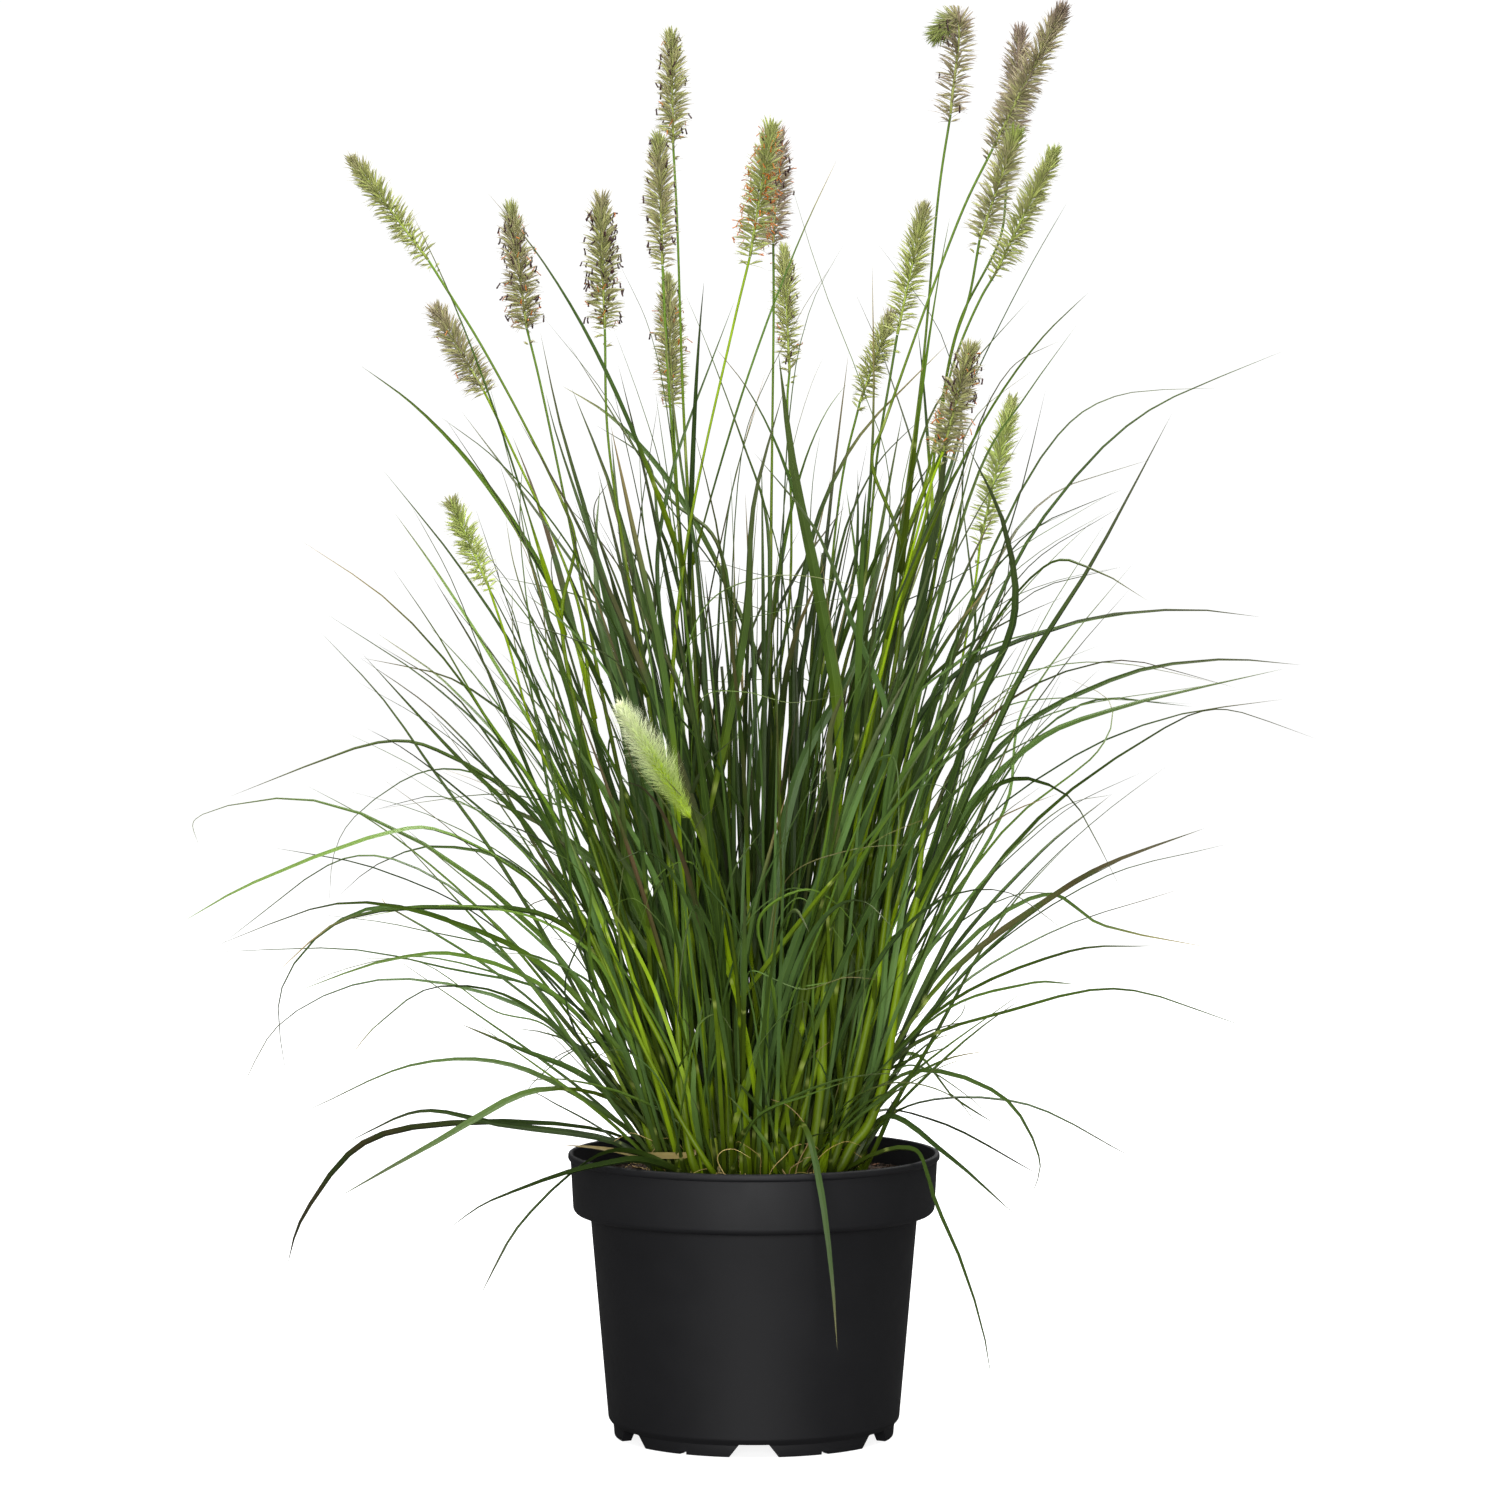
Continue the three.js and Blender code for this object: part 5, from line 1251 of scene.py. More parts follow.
def pot_mesh(sizes):
    """The pot's wall, turned from its section, with every edge that shows rounded."""
    s = sizes
    floor = s.body_bottom - 0.001
    bead = s.height - s.lip_depth
    mouth = s.band_top_radius - s.wall + 0.0005
    profile = [
        (0, floor), (s.foot_inner_radius - 0.001, floor), (s.foot_inner_radius, 0), (s.foot_radius, 0),
        (s.foot_radius + 0.0006, 0.006), (s.body_bottom_radius, s.body_bottom),
        (s.body_top_radius, s.band_bottom), (s.band_bottom_radius, s.band_bottom),
        (s.band_top_radius, bead - 0.0009), (s.lip_radius, bead), (s.lip_radius, s.height),
        (mouth, s.height), (s.band_bottom_radius - s.wall, s.band_bottom + 0.004),
        (s.body_top_radius - s.wall, s.band_bottom + s.wall),
        (s.body_bottom_radius - s.wall, s.body_bottom + s.wall), (0, floor + s.wall),
    ]
    bm = turned(profile, s.sides, 1e-6)
    for radius, level, offset, segments in (
        (s.lip_radius, s.height, 0.0011, 4),
        (s.lip_radius, bead, 0.0007, 3),
        (mouth, s.height, 0.0006, 3),
        (s.band_bottom_radius, s.band_bottom, 0.0034, 6),
        (s.body_top_radius, s.band_bottom, 0.0008, 3),
        (s.body_bottom_radius, s.body_bottom, 0.0008, 3),
        (s.foot_radius, 0, 0.0005, 2),
    ):
        bevel_ring(bm, radius, level, offset, segments)
    return mesh_of(bm, "nursery_pot")


def pot_cutters(sizes):
    """The bars and pegs that cut the feet and the drain holes."""
    bm = bmesh.new()
    for i in range(FEET):
        angle = i * math.pi / 3
        turn = -math.pi / 2 + i * math.pi / 3
        cutter_bar(bm, *NOTCH, sizes.foot_inner_radius, turn)
        cutter_bar(bm, *SLIT, sizes.foot_inner_radius, turn + math.pi / 6)
        place = (DRAIN_CIRCLE * math.cos(angle), DRAIN_CIRCLE * math.sin(angle), sizes.body_bottom)
        bmesh.ops.create_cone(bm, cap_ends=True, segments=24, radius1=DRAIN_RADIUS, radius2=DRAIN_RADIUS,
                              depth=DRAIN_DEPTH, matrix=Matrix.Translation(place))
    return in_scene("cutters", mesh_of(bm, "cutters"))


class FOUNTAINGRASS_OT_pot(bpy.types.Operator):
    """Turn the nursery pot, cut its feet and drain holes and give it its plastic"""
    bl_idname = "fountaingrass.pot"
    bl_label = "Nursery pot"

    def execute(self, context):
        scene = context.scene
        sizes = scene.fountaingrass_pot
        made = in_scene("nursery_pot", pot_mesh(sizes))
        cutters = pot_cutters(sizes)
        cut = made.modifiers.new("feet", "BOOLEAN")
        cut.object = cutters
        cut.solver = "EXACT"
        cut.use_self = True
        context.view_layer.update()
        whole = bpy.data.meshes.new_from_object(made.evaluated_get(context.evaluated_depsgraph_get()))
        made.modifiers.clear()
        made.data = whole
        bpy.data.objects.remove(cutters)
        bm = bmesh.new()
        bm.from_mesh(whole)
        for face in bm.faces:
            face.smooth = True
        for edge in bm.edges:
            edge.smooth = edge.calc_face_angle(0.0) < SHARP_ANGLE
        bm.to_mesh(whole)
        bm.free()
        if len(whole.polygons) < 1000:
            raise RuntimeError("the pot came out without its wall")
        whole.materials.clear()
        whole.materials.append(plastic_material(scene.fountaingrass_colours))
        finish_piece(made, ["pot"])
        return {"FINISHED"}


# The soil

FIBRE_REACH = 84


def soil_height(x, y, roughness):
    """Height of the soil's surface above its level, in metres."""
    point = Vector((x, y, 0))
    broad = noise.noise(point * 60) * 0.7
    crumbly = noise.turbulence(point * 330, 3, False) - 0.7
    return roughness * (broad + 0.8 * crumbly)


def on_ground(x, y, above, soil):
    """Points at a height above the soil's surface, in millimetres."""
    rises = np.array([soil_height(a * MM, b * MM, soil.roughness) / MM for a, b in zip(x, y)])
    return np.stack((x, y, soil.level / MM + rises + above), 1)


def strewn(draw, count, reach, nearest, farthest):
    """Places spread evenly over a ring, whose edges are shares of the area within its reach."""
    radius = reach * np.sqrt(draw.uniform(nearest, farthest, count))
    angle = draw.uniform(0, 2 * math.pi, count)
    return radius * np.cos(angle), radius * np.sin(angle)


class FOUNTAINGRASS_OT_soil(bpy.types.Operator):
    """Fill the pot with peat, and strew it with crumbs, bark, dry fibres and fallen leaves"""
    bl_idname = "fountaingrass.soil"
    bl_label = "Soil"

    def execute(self, context):
        scene = context.scene
        pot, soil, colours = scene.fountaingrass_pot, scene.fountaingrass_soil, scene.fountaingrass_colours
        step = pot.band_bottom + 0.004
        risen = (soil.level - step) / (pot.height - step)
        edge = lerp(pot.band_bottom_radius, pot.band_top_radius + 0.0005, risen) - pot.wall - 0.0004
        rings = 44
        profile = [
            (0, pot.body_bottom + 0.0012),
            (pot.body_bottom_radius - pot.wall - 0.0006, pot.body_bottom + 0.0022),
            (pot.body_top_radius - pot.wall - 0.0005, pot.band_bottom + 0.002),
            (edge - 0.0012, step + 0.0004),
            (edge, soil.level - 0.0006),
        ]
        profile += [(edge * (1 - (i + 1) / rings), soil.level) for i in range(rings)]
        bm = turned(profile, 180, 1e-5)
        for vert in bm.verts:
            if vert.co.z > soil.level - 0.0001:
                vert.co.z += soil_height(vert.co.x, vert.co.y, soil.roughness)
        for face in bm.faces:
            face.smooth = True
        mesh = mesh_of(bm, "potting_soil")
        mesh.materials.append(soil_material(colours))
        finish_piece(in_scene("potting_soil", mesh), ["soil"])
        self.strew(scene, edge)
        self.fibres(scene)
        self.fallen(scene)
        return {"FINISHED"}

    def strew(self, scene, edge):
        """Crumbs of peat and chips of bark, half sunk in the surface."""
        soil, colours = scene.fountaingrass_soil, scene.fountaingrass_colours
        draw = np.random.default_rng(41)
        growth = Growth()
        crumb = Blank(3, 6)
        count = soil.crumbs
        x, y = strewn(draw, count, edge / MM, 0.0, 0.955)
        size = 0.5 + 1.5 * draw.random(count) ** 2.5
        middle = on_ground(x, y, 0.25 * size, soil)
        way = unit(draw.normal(size=(count, 3)))
        places = spindles(crumb, middle - way * size[:, None], middle + way * size[:, None],
                          size * draw.uniform(0.7, 1.0, count), ((0.15, 0.75), (0.5, 1.0), (0.85, 0.7)))
        places = places + draw.normal(size=places.shape) * 0.12 * size[:, None, None]
        shade = draw.uniform(0.5, 2.6, (count, 1, 1))
        growth.add(crumb, places, tint=np.array(colours.soil) * shade)
        chip = Blank(4, 6)
        count = soil.chips
        x, y = strewn(draw, count, edge / MM, 0.3, 0.93)
        half = draw.uniform(1.6, 4.6, count)
        middle = on_ground(x, y, 0.5, soil)
        turn = draw.uniform(0, 2 * math.pi, count)
        way = unit(np.stack((np.cos(turn), np.sin(turn), draw.normal(size=count) * 0.22), 1)) * half[:, None]
        limit = edge / MM - 1.5
        for end in (middle - way, middle + way):
            over = np.maximum(1, np.hypot(end[:, 0], end[:, 1]) / limit)[:, None]
            middle[:, :2] /= over
        places = spindles(chip, middle - way, middle + way, half * draw.uniform(0.22, 0.45, count),
                          ((0.04, 0.8), (0.3, 1.0), (0.7, 0.95), (0.96, 0.7)))
        flat = places - middle[:, None]
        flat[..., 2] *= 0.5
        places = middle[:, None] + flat + draw.normal(size=places.shape) * 0.1
        shade = draw.uniform(0.35, 1.5, (count, 1, 1))
        growth.add(chip, places, tint=np.array(colours.bark) * shade)
        material = tinted_material("crumbs", 0.9, 0.25, 500, 0.5)
        finish_piece(growth.piece("peat_crumbs_and_bark", [material], ["tint"], False), [])

    def fibres(self, scene):
        """Curled dry fibres round the crown, most of them in front."""
        soil, colours = scene.fountaingrass_soil, scene.fountaingrass_colours
        draw = random.Random(8)
        growth = Growth()
        fibre = Blank(16, 5)
        straw = np.array(colours.straw)
        for n in range(soil.roots):
            in_front = n % 3 == 1
            angle = draw.gauss(-1.57, 0.45) if in_front else draw.uniform(0, 2 * math.pi)
            radius = draw.uniform(50, 60) if in_front else draw.uniform(30, 66)
            at = np.array((radius * math.cos(angle), radius * math.sin(angle), soil.level / MM + 0.5))
            path = [at]
            heading = draw.uniform(0, 2 * math.pi)
            rise = draw.uniform(1.2, 2.2) if in_front else draw.uniform(0.2, 1.2)
            for _ in range(5):
                heading += draw.uniform(-1.3, 1.3)
                rise -= draw.uniform(0.2, 0.75)
                step = draw.uniform(4, 9)
                at = at + np.array((math.cos(heading), math.sin(heading), rise)) * step
                at[2] = max(at[2], soil.level / MM + 1.2)
                reach = math.hypot(at[0], at[1])
                if reach > FIBRE_REACH:
                    at[:2] *= FIBRE_REACH / reach
                path.append(at)
            shares = np.linspace(0, 1, 16)
            thick = draw.uniform(0.16, 0.34)
            radii = thick * (1 - 0.6 * shares)
            tint = straw * draw.uniform(0.45, 1.15)
            tint = tint * np.array((0.95, draw.uniform(0.92, 1.1), draw.uniform(0.7, 1)))
            growth.add(fibre, tube_places(fibre, path, radii, shares)[None], tint=tint)
        made = growth.piece("dry_fibres", [tinted_material("dry fibre", 0.7, 0.3, 400, 0.3)], ["tint"])
        finish_piece(made, [])

    def fallen(self, scene):
        """A dead leaf over the rim and two on the soil, each with its width, twist, turn and face."""
        sizes = scene.fountaingrass_leaf
        growth = Growth()
        blank = Blank(20, 4, keeled=True)
        for curve, width, twist, turn, face in (
            (((-26, -46, 152), (-33, -46, 149), (-45, -42, 148), (-58, -36, 147.5), (-69, -30, 149),
              (-83, -22, 150), (-98, -14, 150)), 4.2, 0.4, 0, np.array((0, -1, 0.5))),
            (((26, -52, 134), (30, -60, 136), (44, -66, 135), (62, -60, 136)), 4, 1.4, 0.4, None),
            (((52, -44, 134), (60, -50, 137), (72, -46, 136), (80, -36, 135.5)), 5, 0.8, 0.9, None),
        ):
            curve = np.array(curve, float)
            places, blade = blade_places(blank, curve, width, sizes, 0.02, twist, turn, face)
            growth.add(blank, places, blade=blade, leaf=(0.8, 0.94, 0), mood=(0, 0, 0.3))
        foliage_piece(growth, "fallen_leaves")


def material_named(name, make, *values):
    return bpy.data.materials.get(name) or make(*values)


def foliage_piece(growth, name, *nodes):
    """A piece of grown leaves in the one material of the grass, in place of the nodes, if any."""
    grass = material_named("grass", foliage_material, bpy.context.scene.fountaingrass_colours)
    finish_piece(growth.piece(name, [grass], LEAF_MARKS), nodes)


# The grass

# How far the tips of the finer leaves may reach to each side, forward or back, and up.
FINER_BOX = (165, 200, 560)
FAN_BOX = (240, 240, 500)
# The leaves in front that end within this height and width may be repeated behind.
MIRRORED_TOP = 540
MIRRORED_SIDE = 150
# How far to the side the leaves and culms in front have their roots.
ROOT_REACH = 44
# A stem is painted darker up to this level, a painted shade inside the clump, and reaches its full
# brightness over this rise.
STEM_SHADE_LEVEL = 290
STEM_SHADE_RISE = 110


def wandering_path(root, heading, lean, bend, reach, draw):
    """A grown path whose heading wanders a little from part to part."""
    parts = 7
    angles = lean + bend * ((np.arange(parts) + 0.5) / parts) ** BENDING
    turns = heading + np.cumsum([draw.gauss(0, 0.3) for _ in range(parts)])
    out = np.sin(angles)
    steps = np.stack((out * np.cos(turns), out * np.sin(turns), np.cos(angles)), 1)
    return np.vstack((root, root + np.cumsum(steps * reach / parts, axis=0)))


def more_leaves(shoot, count):
    """Leaves between those of the outline: curve, width and the share that is sheathed."""
    draw = random.Random(300 + shoot.number)
    made = []
    tries = 0
    while len(made) < count and tries < 400:
        tries += 1
        ring = draw.uniform(0.5, 6.5)
        turn = draw.uniform(0, 2 * math.pi)
        root = shoot.centre + (ring * math.cos(turn), ring * math.sin(turn), ROOT_SUNK)
        out = math.hypot(root[0], root[1]) / (CROWN_RADIUS + LEAF_RING)
        heading = math.atan2(root[1], root[0]) + draw.uniform(-1, 1) * math.radians(lerp(150, 80, out))
        lean = math.radians(lerp(1, 13, out) + draw.uniform(0, 11))
        bend = math.radians(draw.uniform(5, 40) + (draw.random() < 0.2) * 50)
        reach = draw.uniform(180, 450)
        curve = wandering_path(root, heading, lean, bend, reach, draw)
        if (np.abs(curve[-1]) > FINER_BOX).any() or not clear_of_pot(along(curve, np.linspace(0, 1, 9))):
            continue
        width = draw.uniform(4.0, 6.4) if draw.random() < 0.7 else draw.uniform(1.8, 3.2)
        made.append((curve, width, draw.choice((0.06, 0.12, 0.35, 0.5))))
    return made


def seen_at(places, depths):
    """Points at their depths that the camera sees at the given places of the upright middle plane."""
    places = np.asarray(places, float)
    near = (np.asarray(depths, float) - CAMERA[1]) / -CAMERA[1]
    x = CAMERA[0] + (places[:, 0] - CAMERA[0]) * near
    z = CAMERA[2] + (places[:, 1] - CAMERA[2]) * near
    return np.stack((x, np.broadcast_to(depths, len(x)), z), 1)


def leaf_line(curve):
    """A leaf's line: the solid's, or the one that it is seen to follow."""
    seen = SEEN_LEAVES.get((curve[-1][0], curve[-1][2]))
    if seen is None:
        return curve
    seen = np.array(seen, float)
    return np.vstack((curve[0], seen_at(seen[:, :2], seen[:, 2])))


def stem_line(shoot):
    """The flowering stem's line: the solid's inside the clump, and above it as it is seen."""
    root, middle, neck, end = shoot.stem.curve
    seen = SPIKES[shoot.spike_number].line
    if seen is None:
        away = unit(lerp(unit(neck - end), unit(middle - end), 0.5))
        return np.array((root, middle, end + NECK * away, end))
    low = along(shoot.stem.curve, (0, 0.14, 0.28, 0.43))
    seen = np.array([place for place in seen if place[1] > low[-1][2] + 25], float)
    share = (seen[:, 1] - low[-1][2]) / (end[2] - low[-1][2])
    return np.vstack((low, seen_at(seen, lerp(low[-1][1], end[1], share)), end))


def add_stem(growth, blank, shoot, sizes, draw):
    """The flowering stem with its sheaths and joints."""
    line = stem_line(shoot)
    at, shares = ring_shares(line, blank.rings)
    radii = lerp(sizes.stem_radius, sizes.stem_top_radius, np.minimum(1, shares / 0.8) ** 0.9) / MM
    joints = np.array((0.1, 0.24, 0.4)) + [draw.uniform(-0.04, 0.04) for _ in range(3)]
    pale = np.zeros(blank.rings)
    for joint in joints:
        near = np.exp(-(((shares - joint) / 0.008) ** 2))
        radii = radii * (1 + 0.28 * near)
        pale = np.maximum(pale, near)
    places = tube_places(blank, line, radii, at)
    shown = SPIKES[shoot.spike_number].bright
    last = draw.uniform(0.6, 0.8) + (0.5 if shown > 0.7 else 0)
    blade = blank.marks(0.5, shares[blank.inner] * 0.62, last * 0.62)
    # Painted shade: the stem's sheaths are darker low down, where the stem runs inside the clump.
    bright = shown * np.clip((places[:, 2] - STEM_SHADE_LEVEL) / STEM_SHADE_RISE, 0.1, 1)
    leaf = blank.marks(draw.uniform(0.5, 1.0), 0, bright + pale[blank.inner])
    growth.add(blank, places[None], blade=blade, leaf=leaf)


def add_leaf(growth, blank, curve, width, collar, sizes, draw,
             tone=None, blue=None, face=None, bright=None):
    """A leaf in its own green, turned so that its face shows from some side."""
    if face is None:
        turn = draw.choice((-1, 1)) * draw.uniform(0.3, 1.3)
        twist = draw.uniform(-1.6, 1.6)
    else:
        turn = draw.uniform(-0.6, 0.6)
        twist = draw.uniform(-0.5, 0.5)
    places, blade = blade_places(blank, curve, width, sizes, collar, twist, turn, face)
    if tone is None:
        tone = draw.random() ** 1.5
    if blue is None:
        blue = draw.random() ** (0.7 if width > 3.9 else 1.5)
    if bright is None:
        bright = draw.random() ** (1.2 if collar > 0.18 else 2.4)
        foot, low = along(curve, (0, 0.35))
        rise = low - foot
        if math.hypot(rise[0], rise[1]) > 0.6 * rise[2]:
            bright *= 0.3
    dry = draw.random() ** 2 * 0.7 if draw.random() < 0.3 else 0
    rusty = draw.uniform(0.4, 0.8) if draw.random() < 0.05 else 0
    mood = (blue, rusty, draw.uniform(0.2, 0.8))
    growth.add(blank, places, blade=blade, leaf=(tone, dry, bright), mood=mood)


class FOUNTAINGRASS_OT_shoots(bpy.types.Operator):
    """Grow the leaves and stems of every shoot, one piece for each"""
    bl_idname = "fountaingrass.shoots"
    bl_label = "Shoots"

    def execute(self, context):
        sizes = context.scene.fountaingrass_leaf
        blank, stem_blank, foot_blank = Blank(16, 4, keeled=True), Blank(90, 8), Blank(6, 8)
        flowering = leafy = 0
        for shoot in grow_clump():
            draw = random.Random(700 + shoot.number)
            growth = Growth()
            leaves = [(leaf_line(leaf.curve), leaf.width, draw.choice((0.05, 0.1, 0.2, 0.35)))
                      for leaf in shoot.leaves]
            for curve, width, collar in leaves + more_leaves(shoot, sizes.more_leaves):
                add_leaf(growth, blank, curve, width * self.breadth(curve[-1]), collar, sizes, draw)
            if shoot.stem:
                add_stem(growth, stem_blank, shoot, sizes, draw)
            self.add_foot(growth, foot_blank, shoot, draw)
            if shoot.stem:
                flowering += 1
                foliage_piece(growth, "flowering_grass_%02d" % flowering, "flowering_shoot_%02d" % flowering)
            else:
                leafy += 1
                foliage_piece(growth, "grass_tuft_%02d" % leafy, "leaf_tuft_%02d" % leafy)
        return {"FINISHED"}

    def breadth(self, tip):
        """How broad a leaf is seen to be for its solid: narrow at the top and in front of the pot."""
        if tip[2] > 600:
            return 0.6
        if tip[2] < 70 and abs(tip[0]) < 60:
            return 0.75
        if tip[2] < 125 and tip[0] < -100:
            return 1.4
        return 1

    def add_foot(self, growth, blank, shoot, draw):
        """The bundle of sheathed bases that the leaves rise from, some of them dry."""
        for _ in range(5):
            turn = draw.uniform(0, 2 * math.pi)
            ring = draw.uniform(0, 4.6)
            base = shoot.centre + (ring * math.cos(turn), ring * math.sin(turn), -6)
            out = unit(np.array((shoot.centre[0], shoot.centre[1], 130 + draw.uniform(0, 60))))
            top = base + out * draw.uniform(18, 46)
            shares = np.linspace(0, 1, blank.rings)
            width = draw.uniform(1.7, 3.6)
            radii = width * np.array((0.9, 1.05, 1.0, 0.92, 0.8, 0.5))
            places = tube_places(blank, (base, (base + top) / 2, top), radii, shares)
            blade = blank.marks(0.5, shares[blank.inner] * 0.5, ALL_SHEATH)
            dry = draw.uniform(0.86, 0.95) if draw.random() < 0.3 else 0
            growth.add(blank, places[None], blade=blade, leaf=(0.5, dry, draw.random() ** 3.2))


def low_leaves(draw, count):
    """Short leaves that leave the crown at low angles in every direction."""
    made = []
    while len(made) < count:
        angle = draw.uniform(0, 2 * math.pi)
        ring = draw.uniform(25, 56)
        root = np.array((ring * math.cos(angle), ring * math.sin(angle), SOIL_LEVEL + 1.0))
        heading = angle + draw.gauss(0, 0.9)
        lean = math.radians(draw.uniform(12, 50))
        bend = math.radians(draw.uniform(10, 75))
        curve = wandering_path(root, heading, lean, bend, draw.uniform(50, 150), draw)
        if clear_of_pot(along(curve, np.linspace(0, 1, 13))):
            made.append((curve, draw.uniform(1.4, 3.6)))
    return made


def fan_leaves(draw, count):
    """Thin leaves that rise from the crown and lean out, most of them to the left and right."""
    made = []
    while len(made) < count:
        angle = draw.choice((0, math.pi)) + draw.gauss(0, 0.8)
        ring = draw.uniform(10, 54)
        root = np.array((ring * math.cos(angle), ring * math.sin(angle), SOIL_LEVEL + 1.0))
        lean = math.radians(draw.uniform(10, 34))
        bend = math.radians(draw.uniform(10, 65))
        curve = wandering_path(root, angle + draw.gauss(0, 0.3), lean, bend, draw.uniform(220, 400), draw)
        if (np.abs(curve[-1]) < FAN_BOX).all() and clear_of_pot(along(curve, np.linspace(0, 1, 13))):
            made.append((curve, draw.uniform(1.6, 3.4)))
    return made


class FOUNTAINGRASS_OT_arching(bpy.types.Operator):
    """Add the thin leaves that arch over in front of the clump and behind it, and short ones below"""
    bl_idname = "fountaingrass.arching"
    bl_label = "Arching leaves"

    def execute(self, context):
        sizes = context.scene.fountaingrass_leaf
        blank = Blank(26, 4, keeled=True)
        draw = random.Random(5)
        growth = Growth()
        for width, tone, *points in ARCHING_LEAVES:
            for side in (1, -1):
                jitter = 0 if side == 1 else 9
                curve = []
                for i, (x, y, z) in enumerate(points):
                    across = side * x + draw.uniform(-jitter, jitter)
                    height = z + draw.uniform(-jitter, jitter) / 2 if i else z
                    curve.append((across, side * y, height))
                add_leaf(growth, blank, np.array(curve, float), width, 0.1, sizes, draw, tone)
        short = Blank(12, 4, keeled=True)
        for curve, width in low_leaves(draw, 90):
            add_leaf(growth, short, curve, width, draw.choice((0.03, 0.1, 0.3)), sizes, draw)
        long = Blank(16, 4, keeled=True)
        for curve, width in fan_leaves(draw, 80):
            add_leaf(growth, long, curve, width, draw.choice((0.05, 0.1, 0.2)), sizes, draw)
        foliage_piece(growth, "arching_leaves")
        return {"FINISHED"}


class FOUNTAINGRASS_OT_facing(bpy.types.Operator):
    """Add the broad leaves and stout culms that show in front, and some like them behind"""
    bl_idname = "fountaingrass.facing"
    bl_label = "Facing leaves"

    def execute(self, context):
        sizes = context.scene.fountaingrass_leaf
        blank = Blank(22, 4, keeled=True)
        draw = random.Random(17)
        growth = Growth()
        for number, (width, tone, blue, collar, depth, *places) in enumerate(FACING_LEAVES):
            curve = self.rooted(places, depth)
            bright = 0.9 if collar > 0.25 else None
            face = np.array((draw.uniform(-0.5, 0.5), -1.0, 0.15))
            add_leaf(growth, blank, curve, width * 0.85, collar, sizes, draw, tone, blue, face, bright)
            inside = curve[-1][2] < MIRRORED_TOP and abs(curve[-1][0]) < MIRRORED_SIDE
            if number % 2 == 0 and inside:
                stray = np.array([[draw.uniform(-9, 9) for _ in range(3)] for _ in curve])
                stray[0] = 0
                behind = curve * BEHIND + stray
                add_leaf(growth, blank, behind, width * 0.85, collar, sizes, draw, tone, blue, -face, bright)
        tube = Blank(34, 8)
        for radius, bright, depth, *places in CULMS:
            curve = self.rooted(places, depth)
            self.add_culm(growth, tube, curve, radius, bright, draw)
            self.add_culm(growth, tube, curve * BEHIND, radius, bright, draw)
        foliage_piece(growth, "facing_leaves")
        return {"FINISHED"}

    def add_culm(self, growth, blank, curve, radius, bright, draw):
        """A stout culm in its sheaths, with one pale joint, that thins towards its end."""
        at, shares = ring_shares(curve, blank.rings)
        joint = np.exp(-(((shares - draw.uniform(0.35, 0.6)) / 0.02) ** 2))
        radii = radius * (1 - 0.65 * shares**0.8) * (1 + 0.18 * joint)
        blade = blank.marks(0.5, shares[blank.inner] * 0.6, ALL_SHEATH)
        shown = 0.62 * bright * np.clip((1 - shares) / 0.25, 0.1, 1)
        # Painted shade: the culm is darker near its foot, by the soil.
        shown = shown * (0.75 + 0.25 * np.clip(shares / 0.2, 0, 1))
        leaf = blank.marks(0.5, 0, (shown + 0.7 * joint)[blank.inner])
        growth.add(blank, tube_places(blank, curve, radii, at)[None], blade=blade, leaf=leaf)

    def rooted(self, places, depth):
        """The leaf's curve, from a root in the crown through the places where it is seen."""
        x = min(ROOT_REACH, max(-ROOT_REACH, places[0][0] * 0.75))
        reach = math.sqrt(CROWN_RADIUS**2 - x * x)
        y = max(-reach, min(reach, depth * 0.8))
        depths = [lerp(y, depth, min(1, 0.4 + 0.6 * (i + 1) / len(places))) for i in range(len(places))]
        return np.vstack(((x, y, SOIL_LEVEL + ROOT_SUNK), seen_at(places, depths)))


# The flower spikes


# Where the cap of a spike begins, as a share of its length, on a straight and on a bent spike.
CAP_START = 0.74
BENT_CAP_START = 0.48
CAP_LENGTH = 0.16
BRISTLES_EACH = 3
SILKY_GRAINS = 360
SILKS_EACH = 7


def spike_frame(line, shares):
    """Centres on a spike's line, with the directions along it and to two sides of it."""
    centres = along(line, shares)
    forward = heading_along(line, shares)
    side = unit(np.cross(forward, (0.0, 1.0, 0.0)))
    return centres, forward, side, np.cross(forward, side)


def fullness(shares, taper):
    """How far a spike swells at each share of its way: loose at its foot, tapering to its tip."""
    low = np.clip((shares + 0.12) / 0.3, 0, 1) ** 0.4
    high = np.clip((1.03 - shares) / taper, 0, 1) ** 0.7
    return low * high


def around(turns, side, up):
    """Directions away from the axis at the given turns."""
    return np.cos(turns)[:, None] * side + np.sin(turns)[:, None] * up


def palette(colours, *names):
    return [np.array(tuple(getattr(colours, name))) for name in names]


